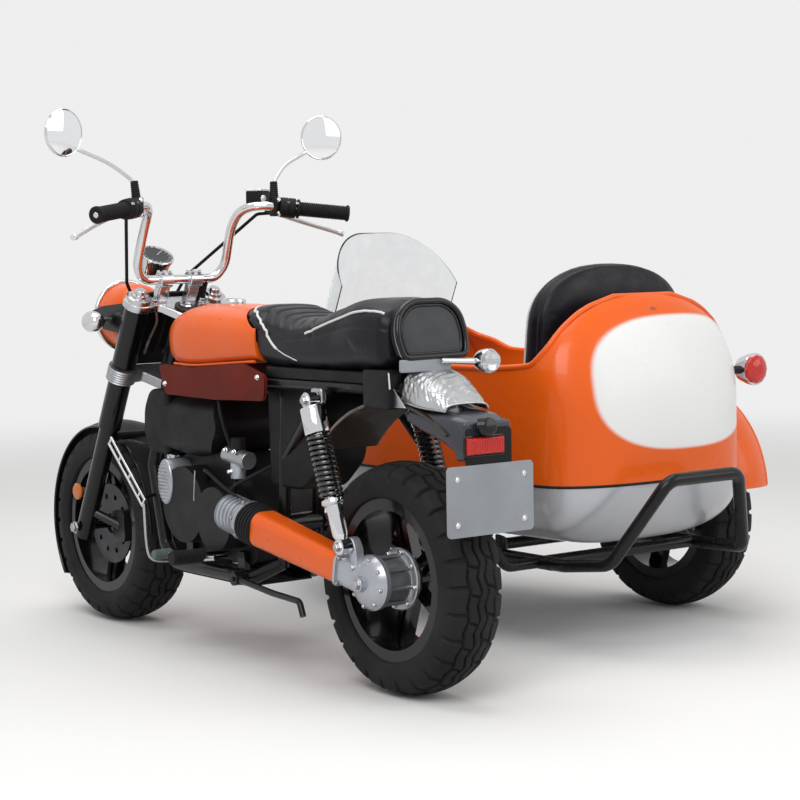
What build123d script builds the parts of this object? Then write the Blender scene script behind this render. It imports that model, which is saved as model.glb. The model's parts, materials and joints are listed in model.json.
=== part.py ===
from build123d import *
import os
from math import asin, cos, pi, radians, sin

# A small shaft-drive motorcycle with a sidecar on its right side. Millimetres.
# X is forward, Y is the rider's left and Z is up. The sizes below are measured from the point on the
# ground under the rear axle, and the finished pieces are moved so that the origin is under the middle
# of the whole vehicle.

# Wheels and axles
wheelbase = 1200
tyre_radius = 244
tyre_width = 134
rim_radius = 153
flange_height = 17
rim_width = 112
rim_wall = 7
hub_radius = 38
spoke_pairs = 5
spoke_width = 15
spoke_depth = 24
spoke_spread = 13
axle_radius = 10
bearing_gap = 0.05
seat_gap = 0.3
sidecar_lead = 406
sidecar_track = 1155

# Front fork and steering
rake = 27
fork_offset = 45
fork_half_spacing = 103
fork_length = 665
leg_radius = 23
shroud_radius = 29
lower_yoke_height = 440
yoke_thickness = 26
stem_radius = 15
head_tube_wall = 10

# Handlebar
bar_radius = 11
riser_half_spacing = 41
grip_radius = 17
grip_length = 120

# Motorcycle body
tank_half_width = 115
tank_front = 841
tank_top = 806
seat_half_width = 124
engine_half_width = 66
side_panel_half_width = 118
tube_radius = 16
rail_half_spacing = 85
shock_half_spacing = 140
tunnel_y = 112

# Sidecar body
tub_y = -745
tub_half_width = 305
tub_wall = 8
tub_split_height = 388
tub_tail_x = -22
tub_nose_x = 1480
tub_dome_end = 125
sill_height = 645

rear_axle = Vector(0, 0, tyre_radius)
front_axle = Vector(wheelbase, 0, tyre_radius)
sidecar_axle = Vector(sidecar_lead, -sidecar_track, tyre_radius)

# The fork's own plane: its origin is on the front axle, x points forward across the legs, z points up
# along them.
rake_cos = cos(radians(rake))
rake_sin = sin(radians(rake))
fork_up = Vector(-rake_sin, 0, rake_cos)
fork_ahead = Vector(rake_cos, 0, rake_sin)
fork_plane = Plane(origin=front_axle, x_dir=fork_ahead, z_dir=fork_up)
steering_foot = front_axle - fork_ahead * fork_offset
top_yoke_height = fork_length - yoke_thickness + 6


def fork_point(ahead, across, up):
    """A place given along the fork's own axes."""
    return front_axle + fork_ahead * ahead + Vector(0, across, 0) + fork_up * up


def shroud_front(height):
    """How far forward the fork shrouds reach at a height above the ground."""
    return front_axle.X - (height - front_axle.Z) * rake_sin / rake_cos + shroud_radius / rake_cos + seat_gap


def wheel_section(axle):
    """The plane that cuts a wheel through its axle: x across the wheel, y up."""
    return Plane(origin=axle, x_dir=(0, 1, 0), z_dir=(1, 0, 0))


def wheel_side(axle, across=0):
    """The plane of a wheel seen from its left, at a distance across it."""
    return Plane(origin=axle + Vector(0, across, 0), x_dir=(1, 0, 0), z_dir=(0, -1, 0))


def add_tube(points, radius, bend):
    """Sweep a round bar along straight runs joined by arcs of the bend radius."""
    with BuildLine() as route:
        if len(points) == 2:
            Line(*points)
        else:
            FilletPolyline(*points, radius=bend)
    with BuildSketch(Plane(origin=route.line @ 0, z_dir=route.line % 0)) as section:
        Circle(radius)
    sweep(sections=section.sketch, path=route.line)


def add_rod(start, end, radius, end_radius=None):
    """A straight round bar between two places, tapered where its two radii differ."""
    start = Vector(*start)
    end = Vector(*end)
    along = end - start
    foot = Plane(origin=start, z_dir=along)
    if end_radius is None:
        with BuildSketch(foot) as section:
            Circle(radius)
        extrude(section.sketch, amount=along.length)
    else:
        with BuildSketch(foot) as near:
            Circle(radius)
        with BuildSketch(foot.offset(along.length)) as far:
            Circle(end_radius)
        loft([near.sketch, far.sketch])


def add_turned(axle, profile):
    """Revolve a closed outline of (across, radius) points about a wheel's axle."""
    with BuildSketch(wheel_section(axle)) as section:
        with BuildLine():
            Polyline(*profile, close=True)
        make_face()
    revolve(section.sketch, axis=Axis(axle, (0, 1, 0)))


def dome_line(base_x, radius, height):
    """A round dome's outline on its axis: from its rim at base_x to its tip, height beyond."""
    ball = (radius * radius + height * height) / (2 * abs(height))
    side = 1 if height > 0 else -1
    centre = base_x + height - side * ball
    turn = asin(min(1, radius / ball)) / 2
    if abs(height) > radius:
        turn = (pi - asin(min(1, radius / ball))) / 2
    ThreePointArc((base_x, radius), (centre + side * ball * cos(turn), ball * sin(turn)), (base_x + height, 0))


def add_shock_lug(side, thickness, low_z):
    """A lug that rises from the swing arm to the inner side of a shock's lower eye."""
    face_y = side * (shock_half_spacing - 14 - seat_gap)
    with BuildSketch(Plane(origin=(0, face_y, 0), x_dir=(1, 0, 0), z_dir=(0, -1, 0))) as lug:
        with BuildLine():
            Polyline((shock_foot.X - 16, shock_foot.Z), (shock_foot.X - 24, low_z), (shock_foot.X + 24, low_z),
                     (shock_foot.X + 16, shock_foot.Z), close=True)
        make_face()
        with Locations((shock_foot.X, shock_foot.Z)):
            Circle(16)
    extrude(lug.sketch, amount=side * thickness)


def add_mudguard(centre, crown_radius, half_width, edge_drop, thickness, start, arc):
    """A domed strip round a wheel: its arched section is turned about the wheel's centre line."""
    start_plane = Plane(origin=centre, x_dir=(0, 1, 0), z_dir=(sin(radians(start)), 0, -cos(radians(start))))
    edge = crown_radius - edge_drop
    inner_edge = edge - thickness
    with BuildSketch(start_plane) as section:
        with BuildLine():
            ThreePointArc((-half_width, edge), (0, crown_radius), (half_width, edge))
            Line((half_width, edge), (half_width, inner_edge))
            ThreePointArc((half_width, inner_edge), (0, crown_radius - thickness), (-half_width, inner_edge))
            Line((-half_width, inner_edge), (-half_width, edge))
        make_face()
    revolve(section.sketch, axis=Axis(centre, (0, 1, 0)), revolution_arc=arc)


def add_folds(plane, inner_radius, valley_radius, crest_radius, length, count):
    """A turned sleeve with ridges side by side, as a coil spring or a bellows shows from outside."""
    pitch = length / count
    profile = [(0, inner_radius), (0, valley_radius)]
    for index in range(count):
        profile.append(((index + 0.3) * pitch, crest_radius))
        profile.append(((index + 0.7) * pitch, crest_radius))
        profile.append(((index + 1) * pitch, valley_radius))
    profile.append((length, inner_radius))
    with BuildSketch(Plane(origin=plane.origin, x_dir=plane.z_dir, z_dir=plane.x_dir)) as section:
        with BuildLine():
            Polyline(*profile, close=True)
        make_face()
    revolve(section.sketch, axis=Axis(plane.origin, plane.z_dir))


def make_tyre(axle):
    """A fat tyre: rounded crown, square shoulders and bulged sidewalls."""
    half = tyre_width / 2
    bead = rim_width / 2 - rim_wall - seat_gap
    inner = rim_radius + seat_gap
    shoulder = half - 9
    shoulder_radius = tyre_radius - 15
    with BuildPart() as tyre:
        with BuildSketch(wheel_section(axle)):
            with BuildLine():
                ThreePointArc((-shoulder, shoulder_radius), (0, tyre_radius), (shoulder, shoulder_radius))
                Line((shoulder, shoulder_radius), (half - 3, shoulder_radius - 12))
                ThreePointArc((half - 3, shoulder_radius - 12), (half, rim_radius + 45),
                              (half - 7, rim_radius + flange_height + 3))
                Line((half - 7, rim_radius + flange_height + 3), (bead, rim_radius + flange_height + 3))
                Line((bead, rim_radius + flange_height + 3), (bead, inner))
                Line((bead, inner), (-bead, inner))
                mirror(about=Plane.YZ)
            make_face()
        revolve(axis=Axis(axle, (0, 1, 0)))
    return tyre


def make_rim(axle, spoke_y):
    """A cast wheel: a rim barrel with two flanges, pairs of straight spokes and a bored hub."""
    half = rim_width / 2
    outer = rim_radius
    inner = rim_radius - rim_wall
    bore = axle_radius + bearing_gap
    with BuildPart() as rim:
        add_turned(axle, [(-half, inner), (half, inner), (half, outer + flange_height),
                          (half - rim_wall, outer + flange_height), (half - rim_wall, outer),
                          (rim_wall - half, outer), (rim_wall - half, outer + flange_height),
                          (-half, outer + flange_height)])
        reach = (inner + hub_radius) / 2
        with BuildSketch(wheel_side(axle, spoke_y + spoke_depth / 2)) as spokes:
            with PolarLocations(0, spoke_pairs):
                with Locations((reach, spoke_spread), (reach, -spoke_spread)):
                    Rectangle(inner - hub_radius + 6, spoke_width)
        extrude(spokes.sketch, amount=spoke_depth)
        add_turned(axle, [(spoke_y - 26, 0), (spoke_y + 26, 0), (spoke_y + 26, hub_radius - 8),
                          (spoke_y + 14, hub_radius + 4), (spoke_y - 14, hub_radius + 4),
                          (spoke_y - 26, hub_radius - 8)])
        with BuildSketch(wheel_side(axle, spoke_y + 60)) as hole:
            Circle(bore)
        extrude(hole.sketch, amount=120, mode=Mode.SUBTRACT)
    return rim


# Wheels
rear_tyre = make_tyre(rear_axle)
front_tyre = make_tyre(front_axle)
sidecar_tyre = make_tyre(sidecar_axle)
rear_spoke_y = -16
front_spoke_y = 0
sidecar_spoke_y = 0
rear_rim = make_rim(rear_axle, rear_spoke_y)
front_rim = make_rim(front_axle, front_spoke_y)
sidecar_rim = make_rim(sidecar_axle, sidecar_spoke_y)

# Front brake disc, bolted to the front hub's left face
disc_radius = 100
disc_y = front_spoke_y + 26
with BuildPart() as front_disc:
    with BuildSketch(wheel_side(front_axle, disc_y + 5)) as disc_face:
        Circle(disc_radius)
        Circle(axle_radius + 16, mode=Mode.SUBTRACT)
        with PolarLocations((disc_radius + 40) / 2, 10):
            Circle(7, mode=Mode.SUBTRACT)
    extrude(disc_face.sketch, amount=5)

# Fork: two legs in shrouds, and the front axle that the wheel turns on
with BuildPart() as fork:
    for side in (-1, 1):
        y = side * fork_half_spacing
        with BuildSketch(fork_plane.offset(-26)) as lower_leg:
            with Locations((0, y)):
                Circle(leg_radius)
        extrude(lower_leg.sketch, amount=lower_yoke_height + 26)
        with BuildSketch(fork_plane.offset(lower_yoke_height + yoke_thickness)) as shroud:
            with Locations((0, y)):
                Circle(shroud_radius)
        extrude(shroud.sketch, amount=top_yoke_height - lower_yoke_height - yoke_thickness)
        with BuildSketch(fork_plane.offset(lower_yoke_height - 150)) as sleeve:
            with Locations((0, y)):
                Circle(shroud_radius - 1)
        extrude(sleeve.sketch, amount=150)
    add_rod(front_axle + Vector(0, -fork_half_spacing - leg_radius - 8, 0),
            front_axle + Vector(0, fork_half_spacing + leg_radius + 8, 0), axle_radius)

# Yokes: the top and lower clamps, the stem that turns in the head tube and the bar's two risers
bar_rise = 58
bar_ahead = 6
bar_centre = fork_point(bar_ahead, 0, top_yoke_height + bar_rise)
with BuildPart() as yokes:
    for height in (lower_yoke_height, top_yoke_height):
        with BuildSketch(fork_plane.offset(height)) as clamp:
            with Locations((-fork_offset / 2, 0)):
                Rectangle(fork_offset, 52)
            with Locations((-fork_offset, 0)):
                Circle(26)
            SlotCenterToCenter(2 * fork_half_spacing, 2 * shroud_radius + 12, rotation=90)
            if height == lower_yoke_height:
                with Locations((0, fork_half_spacing), (0, -fork_half_spacing)):
                    Circle(leg_radius + seat_gap, mode=Mode.SUBTRACT)
        extrude(clamp.sketch, amount=yoke_thickness)
    add_rod(fork_point(-fork_offset, 0, lower_yoke_height + 5),
            fork_point(-fork_offset, 0, top_yoke_height + 5), stem_radius - bearing_gap)
    for side in (-1, 1):
        riser_foot = fork_point(bar_ahead, side * riser_half_spacing, top_yoke_height + yoke_thickness - 1)
        foot = Plane(origin=riser_foot, x_dir=fork_ahead, z_dir=fork_up)
        with BuildSketch(foot) as post:
            RectangleRounded(44, 34, 9)
        extrude(post.sketch, amount=bar_rise - yoke_thickness + bar_radius + 11)
    with BuildSketch(Plane(origin=bar_centre, z_dir=(0, 1, 0))) as bore:
        Circle(bar_radius + seat_gap)
    extrude(bore.sketch, amount=120, both=True, mode=Mode.SUBTRACT)

# Handlebar: a raised chrome bar, clamped over the top yoke
grip_end = bar_centre + Vector(-214, 338, 139)
grip_start = bar_centre + Vector(-111, 152, 162)
bar_half = [grip_end, grip_start, bar_centre + Vector(-48, 112, 127), bar_centre + Vector(0, 78, 0)]
with BuildPart() as handlebar:
    add_tube(bar_half + [Vector(point.X, -point.Y, point.Z) for point in reversed(bar_half)], bar_radius, 26)

grip_along = (grip_end - grip_start).normalized()


def on_bar(from_end, side=1):
    """A place on the straight part of the bar, measured in from its end."""
    place = grip_end - grip_along * from_end
    return Vector(place.X, side * place.Y, place.Z)


with BuildPart() as grips:
    for side in (-1, 1):
        outer = on_bar(-6, side)
        inner = on_bar(grip_length, side)
        with BuildSketch(Plane(origin=inner, z_dir=outer - inner)) as ring:
            Circle(grip_radius)
            Circle(bar_radius + seat_gap, mode=Mode.SUBTRACT)
        extrude(ring.sketch, amount=grip_length)
        with BuildSketch(Plane(origin=on_bar(0.3 - 1, side), z_dir=outer - inner)) as cap:
            Circle(grip_radius + 3)
        extrude(cap.sketch, amount=7)
        with BuildSketch(Plane(origin=inner, z_dir=outer - inner)) as collar:
            Circle(grip_radius + 6)
            Circle(bar_radius + seat_gap, mode=Mode.SUBTRACT)
        extrude(collar.sketch, amount=8)

# Switch housings, levers and the brake fluid box
with BuildPart() as controls:
    for side in (-1, 1):
        a = on_bar(grip_length + 2, side)
        b = on_bar(grip_length + 42, side)
        with BuildSketch(Plane(origin=a, z_dir=b - a)) as housing:
            Circle(24)
            Circle(bar_radius + seat_gap, mode=Mode.SUBTRACT)
        extrude(housing.sketch, amount=38)
        pivot = on_bar(grip_length + 22, side) + Vector(22, 0, 0)
        add_tube([pivot, pivot + Vector(30, side * 14, -4), pivot + Vector(6, side * 90, -14),
                  pivot + Vector(-46, side * 176, -24)], 5.5, 8)
    reservoir = on_bar(grip_length + 22, -1) + Vector(36, 0, 2)
    across_bar = Vector(grip_along.Y, grip_along.X, 0)
    with BuildSketch(Plane(origin=reservoir, x_dir=across_bar, z_dir=(0, 0, 1))) as fluid_box:
        RectangleRounded(42, 58, 8)
    extrude(fluid_box.sketch, amount=36)
    for side in (-1, 1):
        with BuildSketch(Plane(origin=on_bar(0, side), z_dir=on_bar(1, side) - on_bar(0, side))) as bar_way:
            Circle(bar_radius + seat_gap)
        extrude(bar_way.sketch, amount=230, mode=Mode.SUBTRACT)

mirror_radius = 54
with BuildPart() as mirrors:
    for side in (-1, 1):
        centre = bar_centre + Vector(-91, side * 354, 326)
        facing = Vector(-1, -side * 0.22, -0.05)
        with BuildSketch(Plane(origin=centre, z_dir=facing)) as face:
            Circle(mirror_radius)
        extrude(face.sketch, amount=7)
        with BuildSketch(Plane(origin=centre, z_dir=facing)) as back:
            Circle(mirror_radius - 5)
        extrude(back.sketch, amount=-14, taper=30)
        base = on_bar(grip_length + 24, side) + Vector(4, 0, 24.8)
        add_tube([base, base + Vector(4, side * 2, 34), base + Vector(32, side * 40, 80),
                  centre + Vector(10, -side * 34, -34), centre + Vector(8, -side * 6, -8)], 5, 14)

# Headlamp between and ahead of the fork legs
lamp_centre = fork_point(194, 0, 491)
lamp_radius = 82
ear_y = fork_half_spacing + 2.5
ear_low = lamp_centre.Z - 35
ear_high = lamp_centre.Z + 35
with BuildPart() as headlamp:
    with BuildSketch(Plane(origin=lamp_centre, x_dir=(1, 0, 0), z_dir=(0, -1, 0))) as bucket:
        with BuildLine():
            Polyline((-126, 0), (0, 0), (0, lamp_radius), (-46, lamp_radius - 2))
            dome_line(-46, lamp_radius - 2, -80)
        make_face()
    revolve(bucket.sketch, axis=Axis(lamp_centre, (1, 0, 0)))
    for side in (-1, 1):
        with BuildSketch(Plane(origin=(0, side * ear_y, 0), x_dir=(1, 0, 0), z_dir=(0, -1, 0))) as ear:
            with BuildLine():
                Polyline((shroud_front(ear_low), ear_low), (shroud_front(ear_high), ear_high),
                         (lamp_centre.X - 80, ear_high - 10), (lamp_centre.X - 25, ear_high - 23),
                         (lamp_centre.X - 25, ear_low + 23), (lamp_centre.X - 80, ear_low + 10), close=True)
            make_face()
        extrude(ear.sketch, amount=side * 5)
        add_rod(lamp_centre + Vector(-40, side * 70, 0), lamp_centre + Vector(-40, side * (ear_y + 9), 0), 10)
with BuildPart() as headlamp_lens:
    with BuildSketch(Plane(origin=lamp_centre + Vector(0.3, 0, 0), x_dir=(1, 0, 0), z_dir=(0, -1, 0))) as glass:
        with BuildLine():
            Polyline((26, 0), (0, 0), (0, lamp_radius + 3), (12, lamp_radius + 1))
            dome_line(12, lamp_radius + 1, 14)
        make_face()
    revolve(glass.sketch, axis=Axis(lamp_centre, (1, 0, 0)))

# Front signals on stalks from the headlamp's brackets
signal_y = 150
with BuildPart() as front_signals:
    for side in (-1, 1):
        hub = lamp_centre + Vector(-108, side * signal_y, -8)
        with BuildSketch(Plane(origin=hub, x_dir=(1, 0, 0), z_dir=(0, -1, 0))) as bullet:
            with BuildLine():
                Polyline((30, 0), (-24, 0), (-24, 24), (-6, 25))
                dome_line(-6, 25, 36)
            make_face()
        revolve(bullet.sketch, axis=Axis(hub, (1, 0, 0)))
        add_rod(hub + Vector(0, -side * 8, 0), Vector(hub.X, side * (ear_y + seat_gap), hub.Z), 7)

# Speedometer above the headlamp
speedo_centre = fork_point(108, 0, 701)
speedo_facing = Vector(-0.52, 0, 0.85)
with BuildPart() as speedometer:
    with BuildSketch(Plane(origin=speedo_centre, z_dir=speedo_facing)) as dial:
        Circle(41)
    extrude(dial.sketch, amount=-44)
    add_rod(speedo_centre - speedo_facing * 40, fork_point(45, 0, top_yoke_height + yoke_thickness / 2), 9)
    add_rod(fork_point(80, 0, top_yoke_height + yoke_thickness / 2),
            fork_point(shroud_radius + 6 + seat_gap, 0, top_yoke_height + yoke_thickness / 2), 9)

# Front mudguard hugging the tyre, carried by a bridge between the fork legs
front_guard_radius = tyre_radius + 18
with BuildPart() as front_mudguard:
    add_mudguard(front_axle, front_guard_radius, 60, 12, 4, start=180, arc=216)
    bridge_end = fork_half_spacing - leg_radius - seat_gap
    add_rod(fork_point(0, -bridge_end, front_guard_radius), fork_point(0, bridge_end, front_guard_radius), 9)

# Front brake caliper: it straddles the disc's rear edge and is bolted to the left leg
caliper_lean = 150
caliper_inner_y = disc_y - 9
caliper_outer_y = disc_y + 36
caliper_out = fork_ahead * cos(radians(caliper_lean)) + fork_up * sin(radians(caliper_lean))
with BuildPart() as brake_caliper:
    with BuildSketch(Plane(origin=front_axle + Vector(0, caliper_outer_y, 0), x_dir=caliper_out,
                           z_dir=(0, -1, 0))) as caliper_face:
        with Locations((disc_radius - 10, 0)):
            RectangleRounded(58, 78, 14)
    extrude(caliper_face.sketch, amount=caliper_outer_y - caliper_inner_y)
    with BuildSketch(wheel_side(front_axle, disc_y + 10.5)) as disc_way:
        Circle(disc_radius + 6)
    extrude(disc_way.sketch, amount=16, mode=Mode.SUBTRACT)
    bolt_place = front_axle + caliper_out * (disc_radius - 14) + Vector(0, caliper_outer_y - 8, 0)
    add_rod(bolt_place, fork_point(-6, fork_half_spacing, caliper_out.dot(fork_up) * disc_radius), 11)
    add(fork.part, mode=Mode.SUBTRACT)

# Control cables from the two levers, held at their other ends by the headlamp
cable_radius = 4
cable_bend = 24
lever_left = on_bar(grip_length + 34, 1)
lever_right = on_bar(grip_length + 34, -1)
with BuildPart() as cables:
    add_tube([lever_left + Vector(15, 0, -12), lever_left + Vector(70, -20, -12),
              fork_point(96, 84, top_yoke_height - 10), fork_point(82, 40, lower_yoke_height + 120)],
             cable_radius, cable_bend)
    add_tube([lever_right + Vector(15, 0, -12), lever_right + Vector(74, 24, -14),
              fork_point(104, -84, top_yoke_height), fork_point(86, -40, lower_yoke_height + 118)],
             cable_radius, cable_bend)
    add(controls.part, mode=Mode.SUBTRACT)
    add(headlamp.part, mode=Mode.SUBTRACT)

# Frame: head tube, backbone, cradle, seat rails and the plates that carry the swing arm
head_low = steering_foot + fork_up * (lower_yoke_height + yoke_thickness + 2)
head_high = steering_foot + fork_up * (top_yoke_height - 2)
head_middle = (head_low + head_high) * 0.5
pivot_x = 400
pivot_z = 322
cradle_z = 196
rail_z = 640
pivot_half_spacing = 46
stand_pivot = Vector(480, 119, 198)
stand_eye_width = 20
stand_pin_radius = 5
shock_top = Vector(147, 0, 615)
shock_foot = rear_axle + Vector(39, 0, 75)
with BuildPart() as frame:
    head_radius = stem_radius + head_tube_wall
    add_rod(head_low, head_high, head_radius)
    add_tube([head_middle + Vector(-14, 0, -4), (700, 0, 648), (440, 0, 604), (pivot_x - 10, 0, 590)], 24, 30)
    for side in (-1, 1):
        y = side * rail_half_spacing
        inner_y = side * pivot_half_spacing
        add_tube([head_low + fork_up * 62 + Vector(-6, side * 10, 0), (868, side * 58, 590), (888, y, 420),
                  (840, y, cradle_z + 40), (796, y, cradle_z), (470, y, cradle_z), (pivot_x, inner_y, 236)],
                 tube_radius, 26)
        add_rod((pivot_x, inner_y, 226), (pivot_x - 24, inner_y, rail_z - 16), tube_radius - 2)
        add_tube([(440, side * 10, 606), (400, y, rail_z), (60, y, rail_z + 2), (-82.3, side * 70, rail_z + 4)],
                 tube_radius - 3, 30)
        add_rod((pivot_x - 20, inner_y, 470), (170, y, rail_z - 4), tube_radius - 4)
        add_rod((shock_top.X, side * (rail_half_spacing - 4), rail_z - 10),
                (shock_top.X, side * (shock_half_spacing - 19), shock_top.Z), 11)
        with BuildSketch(Plane(origin=(0, side * (engine_half_width + seat_gap), 0), x_dir=(1, 0, 0),
                               z_dir=(0, -1, 0))) as engine_lugs:
            with Locations((520, 225), (740, 225)):
                Rectangle(28, 50)
        extrude(engine_lugs.sketch, amount=-side * (rail_half_spacing - engine_half_width - 4))
    add_rod((-50, -74, rail_z + 4), (-50, 74, rail_z + 4), tube_radius - 4)
    add_rod((pivot_x - 2, -pivot_half_spacing, pivot_z), (pivot_x - 2, pivot_half_spacing, pivot_z), 22)
    stand_lug_end = stand_pivot.Y - stand_eye_width / 2 - seat_gap
    lug_foot = Vector(stand_pivot.X, rail_half_spacing, stand_pivot.Z)
    add_rod(lug_foot, (stand_pivot.X, stand_lug_end, stand_pivot.Z), 16)
    add_rod(lug_foot, stand_pivot + Vector(0, stand_eye_width / 2 + 4, 0), stand_pin_radius)
    with BuildSketch(Plane(origin=head_low - fork_up * 5, z_dir=fork_up)) as bore:
        Circle(stem_radius)
    extrude(bore.sketch, amount=(head_high - head_low).length + 10, mode=Mode.SUBTRACT)

# Engine: crankcase with round covers and a finned cylinder lying forward
with BuildPart() as engine_case:
    with BuildSketch(Plane(origin=(0, engine_half_width, 0), x_dir=(1, 0, 0), z_dir=(0, -1, 0))) as case:
        with BuildLine():
            FilletPolyline((480, 222), (770, 222), (800, 300), (790, 450), (640, 470), (500, 430), (460, 330),
                           radius=26, close=True)
        make_face()
    extrude(case.sketch, amount=2 * engine_half_width)
    for x, z, radius, reach in ((700, 345, 88, 56), (560, 325, 72, 62)):
        with BuildSketch(Plane(origin=(x, 0, z), z_dir=(0, 1, 0))) as cover:
            Circle(radius)
        extrude(cover.sketch, amount=engine_half_width + reach, both=True)

fin_count = 7
fin_pitch = 15
fin_thickness = 4.5
cylinder_x = 801
cylinder_z = 390
with BuildPart() as cylinder:
    add_rod((cylinder_x - 20, 0, cylinder_z), (cylinder_x + fin_count * fin_pitch, 0, cylinder_z + 6), 40)
    add(engine_case.part, mode=Mode.SUBTRACT)
    for index in range(fin_count):
        x = cylinder_x + 4 + index * fin_pitch
        with BuildSketch(Plane(origin=(x, 0, cylinder_z + 3), x_dir=(0, 1, 0), z_dir=(1, 0, 0))) as fin:
            RectangleRounded(124, 116, 34)
        extrude(fin.sketch, amount=fin_thickness)

# Rounded black cover below the front of the tank
with BuildPart() as engine_cover:
    with BuildSketch(Plane(origin=(0, 112, 0), x_dir=(1, 0, 0), z_dir=(0, -1, 0))) as outline:
        with BuildLine():
            FilletPolyline((600, 470), (700, 452), (830, 480), (850, 560), (800, 588), (600, 588), (560, 530),
                           radius=30, close=True)
        make_face()
    extrude(outline.sketch, amount=224)
    with BuildSketch(Plane(origin=(500, 0, 520), x_dir=(0, 1, 0), z_dir=(1, 0, 0))) as cover_end:
        RectangleRounded(224, 137, 50)
    extrude(cover_end.sketch, amount=400, mode=Mode.INTERSECT)
    with BuildSketch(Plane(origin=(0, engine_half_width + 1, 0), x_dir=(1, 0, 0), z_dir=(0, -1, 0))) as inside:
        with BuildLine():
            Polyline((480, 400), (900, 400), (900, 469.8), (480, 469.8), close=True)
        make_face()
    extrude(inside.sketch, amount=2 * engine_half_width + 2, mode=Mode.SUBTRACT)

# Fuel tank
with BuildPart() as fuel_tank:
    with BuildSketch(Plane(origin=(0, tank_half_width + 10, 0), x_dir=(1, 0, 0), z_dir=(0, -1, 0))) as side_view:
        with BuildLine():
            Polyline((795, 668), (660, 664), (442, 682), (446, 712), (575, tank_top - 4), (690, tank_top))
            ThreePointArc((690, tank_top), (775, tank_top - 14), (826, tank_top - 52))
            ThreePointArc((826, tank_top - 52), (tank_front, 718), (820, 682))
            ThreePointArc((820, 682), (809, 672), (795, 668))
        make_face()
    extrude(side_view.sketch, amount=2 * tank_half_width + 20)
    with BuildSketch(Plane.XY.offset(600)) as tank_plan:
        with Locations((tank_front - 300, 0)):
            RectangleRounded(600, 2 * tank_half_width + 12, 112)
    extrude(tank_plan.sketch, amount=300, mode=Mode.INTERSECT)
    with BuildSketch(Plane(origin=(400, 0, tank_top - 148), x_dir=(0, 1, 0), z_dir=(1, 0, 0))) as tank_end:
        RectangleRounded(2 * tank_half_width, 300, 84)
    extrude(tank_end.sketch, amount=500, mode=Mode.INTERSECT)
    with BuildSketch(Plane(origin=(0, 24.6, 0), x_dir=(1, 0, 0), z_dir=(0, -1, 0))) as tunnel:
        with BuildLine():
            Polyline((420, 600), (900, 600), (900, 760), (850, 746), (700, 690), (420, 644), close=True)
        make_face()
    extrude(tunnel.sketch, amount=49.2, mode=Mode.SUBTRACT)

# Orange side panels below the tank
with BuildPart() as side_panels:
    for side in (-1, 1):
        outer = side * side_panel_half_width
        with BuildSketch(Plane(origin=(0, outer, 0), x_dir=(1, 0, 0), z_dir=(0, -1, 0))) as panel:
            with BuildLine():
                FilletPolyline((360, 604), (560, 598), (770, 600), (798, 667.4), (660, 663.4), (444, 681.2),
                               (350, 655), radius=4, close=True)
            make_face()
        extrude(panel.sketch, amount=side * 8)

# Dual seat and the pad at its tail
with BuildPart() as seat:
    with BuildSketch(Plane(origin=(0, seat_half_width, 0), x_dir=(1, 0, 0), z_dir=(0, -1, 0))) as seat_side:
        with BuildLine():
            Line((552, 806), (420, 712))
            Line((420, 712), (420, 676))
            Line((420, 676), (100, 672))
            Line((100, 672), (-92, 700))
            Line((-92, 700), (-66, 822))
            ThreePointArc((-66, 822), (30, 826), (120, 802))
            ThreePointArc((120, 802), (275, 768), (430, 784))
            Line((430, 784), (552, 806))
        make_face()
    extrude(seat_side.sketch, amount=2 * seat_half_width)
    rail_top = rail_z + 2 + tube_radius - 3
    for x in (80, 300):
        for side in (-1, 1):
            add_rod((x, side * rail_half_spacing, 690), (x, side * rail_half_spacing, rail_top + seat_gap), 10)
with BuildPart() as tail_pad:
    with BuildSketch(Plane(origin=(-79.5, 0, 760), x_dir=(0, 1, 0), z_dir=(-1, 0, 0.213))) as pad_face:
        RectangleRounded(2 * seat_half_width - 20, 120, 50)
    extrude(pad_face.sketch, amount=24)

# Rear mudguard, tail cover, bracket, lamp and blank plate
plate_width = 220
plate_height = 140
plate_thickness = 3
plate_x = -270
with BuildPart() as rear_mudguard:
    with BuildSketch(Plane(origin=(0, 76, 0), x_dir=(1, 0, 0), z_dir=(0, -1, 0))) as guard_arc:
        with BuildLine():
            ThreePointArc((210, 500), (0, 610), (-222, 557))
            Line((-222, 557), (-226, 561))
            ThreePointArc((-226, 561), (0, 615), (214, 504))
            Line((214, 504), (210, 500))
        make_face()
    extrude(guard_arc.sketch, amount=152)
    add_rod((-50, 0, 606), (-50, 0, rail_z + 4 - tube_radius + 4 - seat_gap), 14)
with BuildPart() as tail_cover:
    with BuildSketch(Plane(origin=(0, 84, 0), x_dir=(1, 0, 0), z_dir=(0, -1, 0))) as cover_side:
        with BuildLine():
            Polyline((-84, 616), (-84, 690), (-120, 686), (-180, 652), (-222, 601), (-150, 606), close=True)
        make_face()
    extrude(cover_side.sketch, amount=168)
with BuildPart() as tail_bracket:
    with BuildSketch(Plane(origin=(0, 62, 0), x_dir=(1, 0, 0), z_dir=(0, -1, 0))) as bracket_side:
        with BuildLine():
            Polyline((-216, 600), (-262, 590), (-262, 512), (-250, 508), (-228, 556), close=True)
        make_face()
    extrude(bracket_side.sketch, amount=124)
    carrier_foot = (plate_x + plate_thickness, 0, 490)
    with BuildSketch(Plane(origin=carrier_foot, x_dir=(0, 1, 0), z_dir=(1, 0, 0))) as carrier:
        Rectangle(116, 170)
    extrude(carrier.sketch, amount=5)
lamp_face_x = -262.3
with BuildPart() as tail_lamp:
    with BuildSketch(Plane(origin=(lamp_face_x, 0, 552), x_dir=(0, 1, 0), z_dir=(1, 0, 0))) as lens:
        RectangleRounded(100, 48, 8)
    extrude(lens.sketch, amount=-20)
    add(tail_bracket.part, mode=Mode.SUBTRACT)
plate_bolt_spacing = 170
plate_bolt_rise = 90
plate_bolt_radius = 3.2
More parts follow.
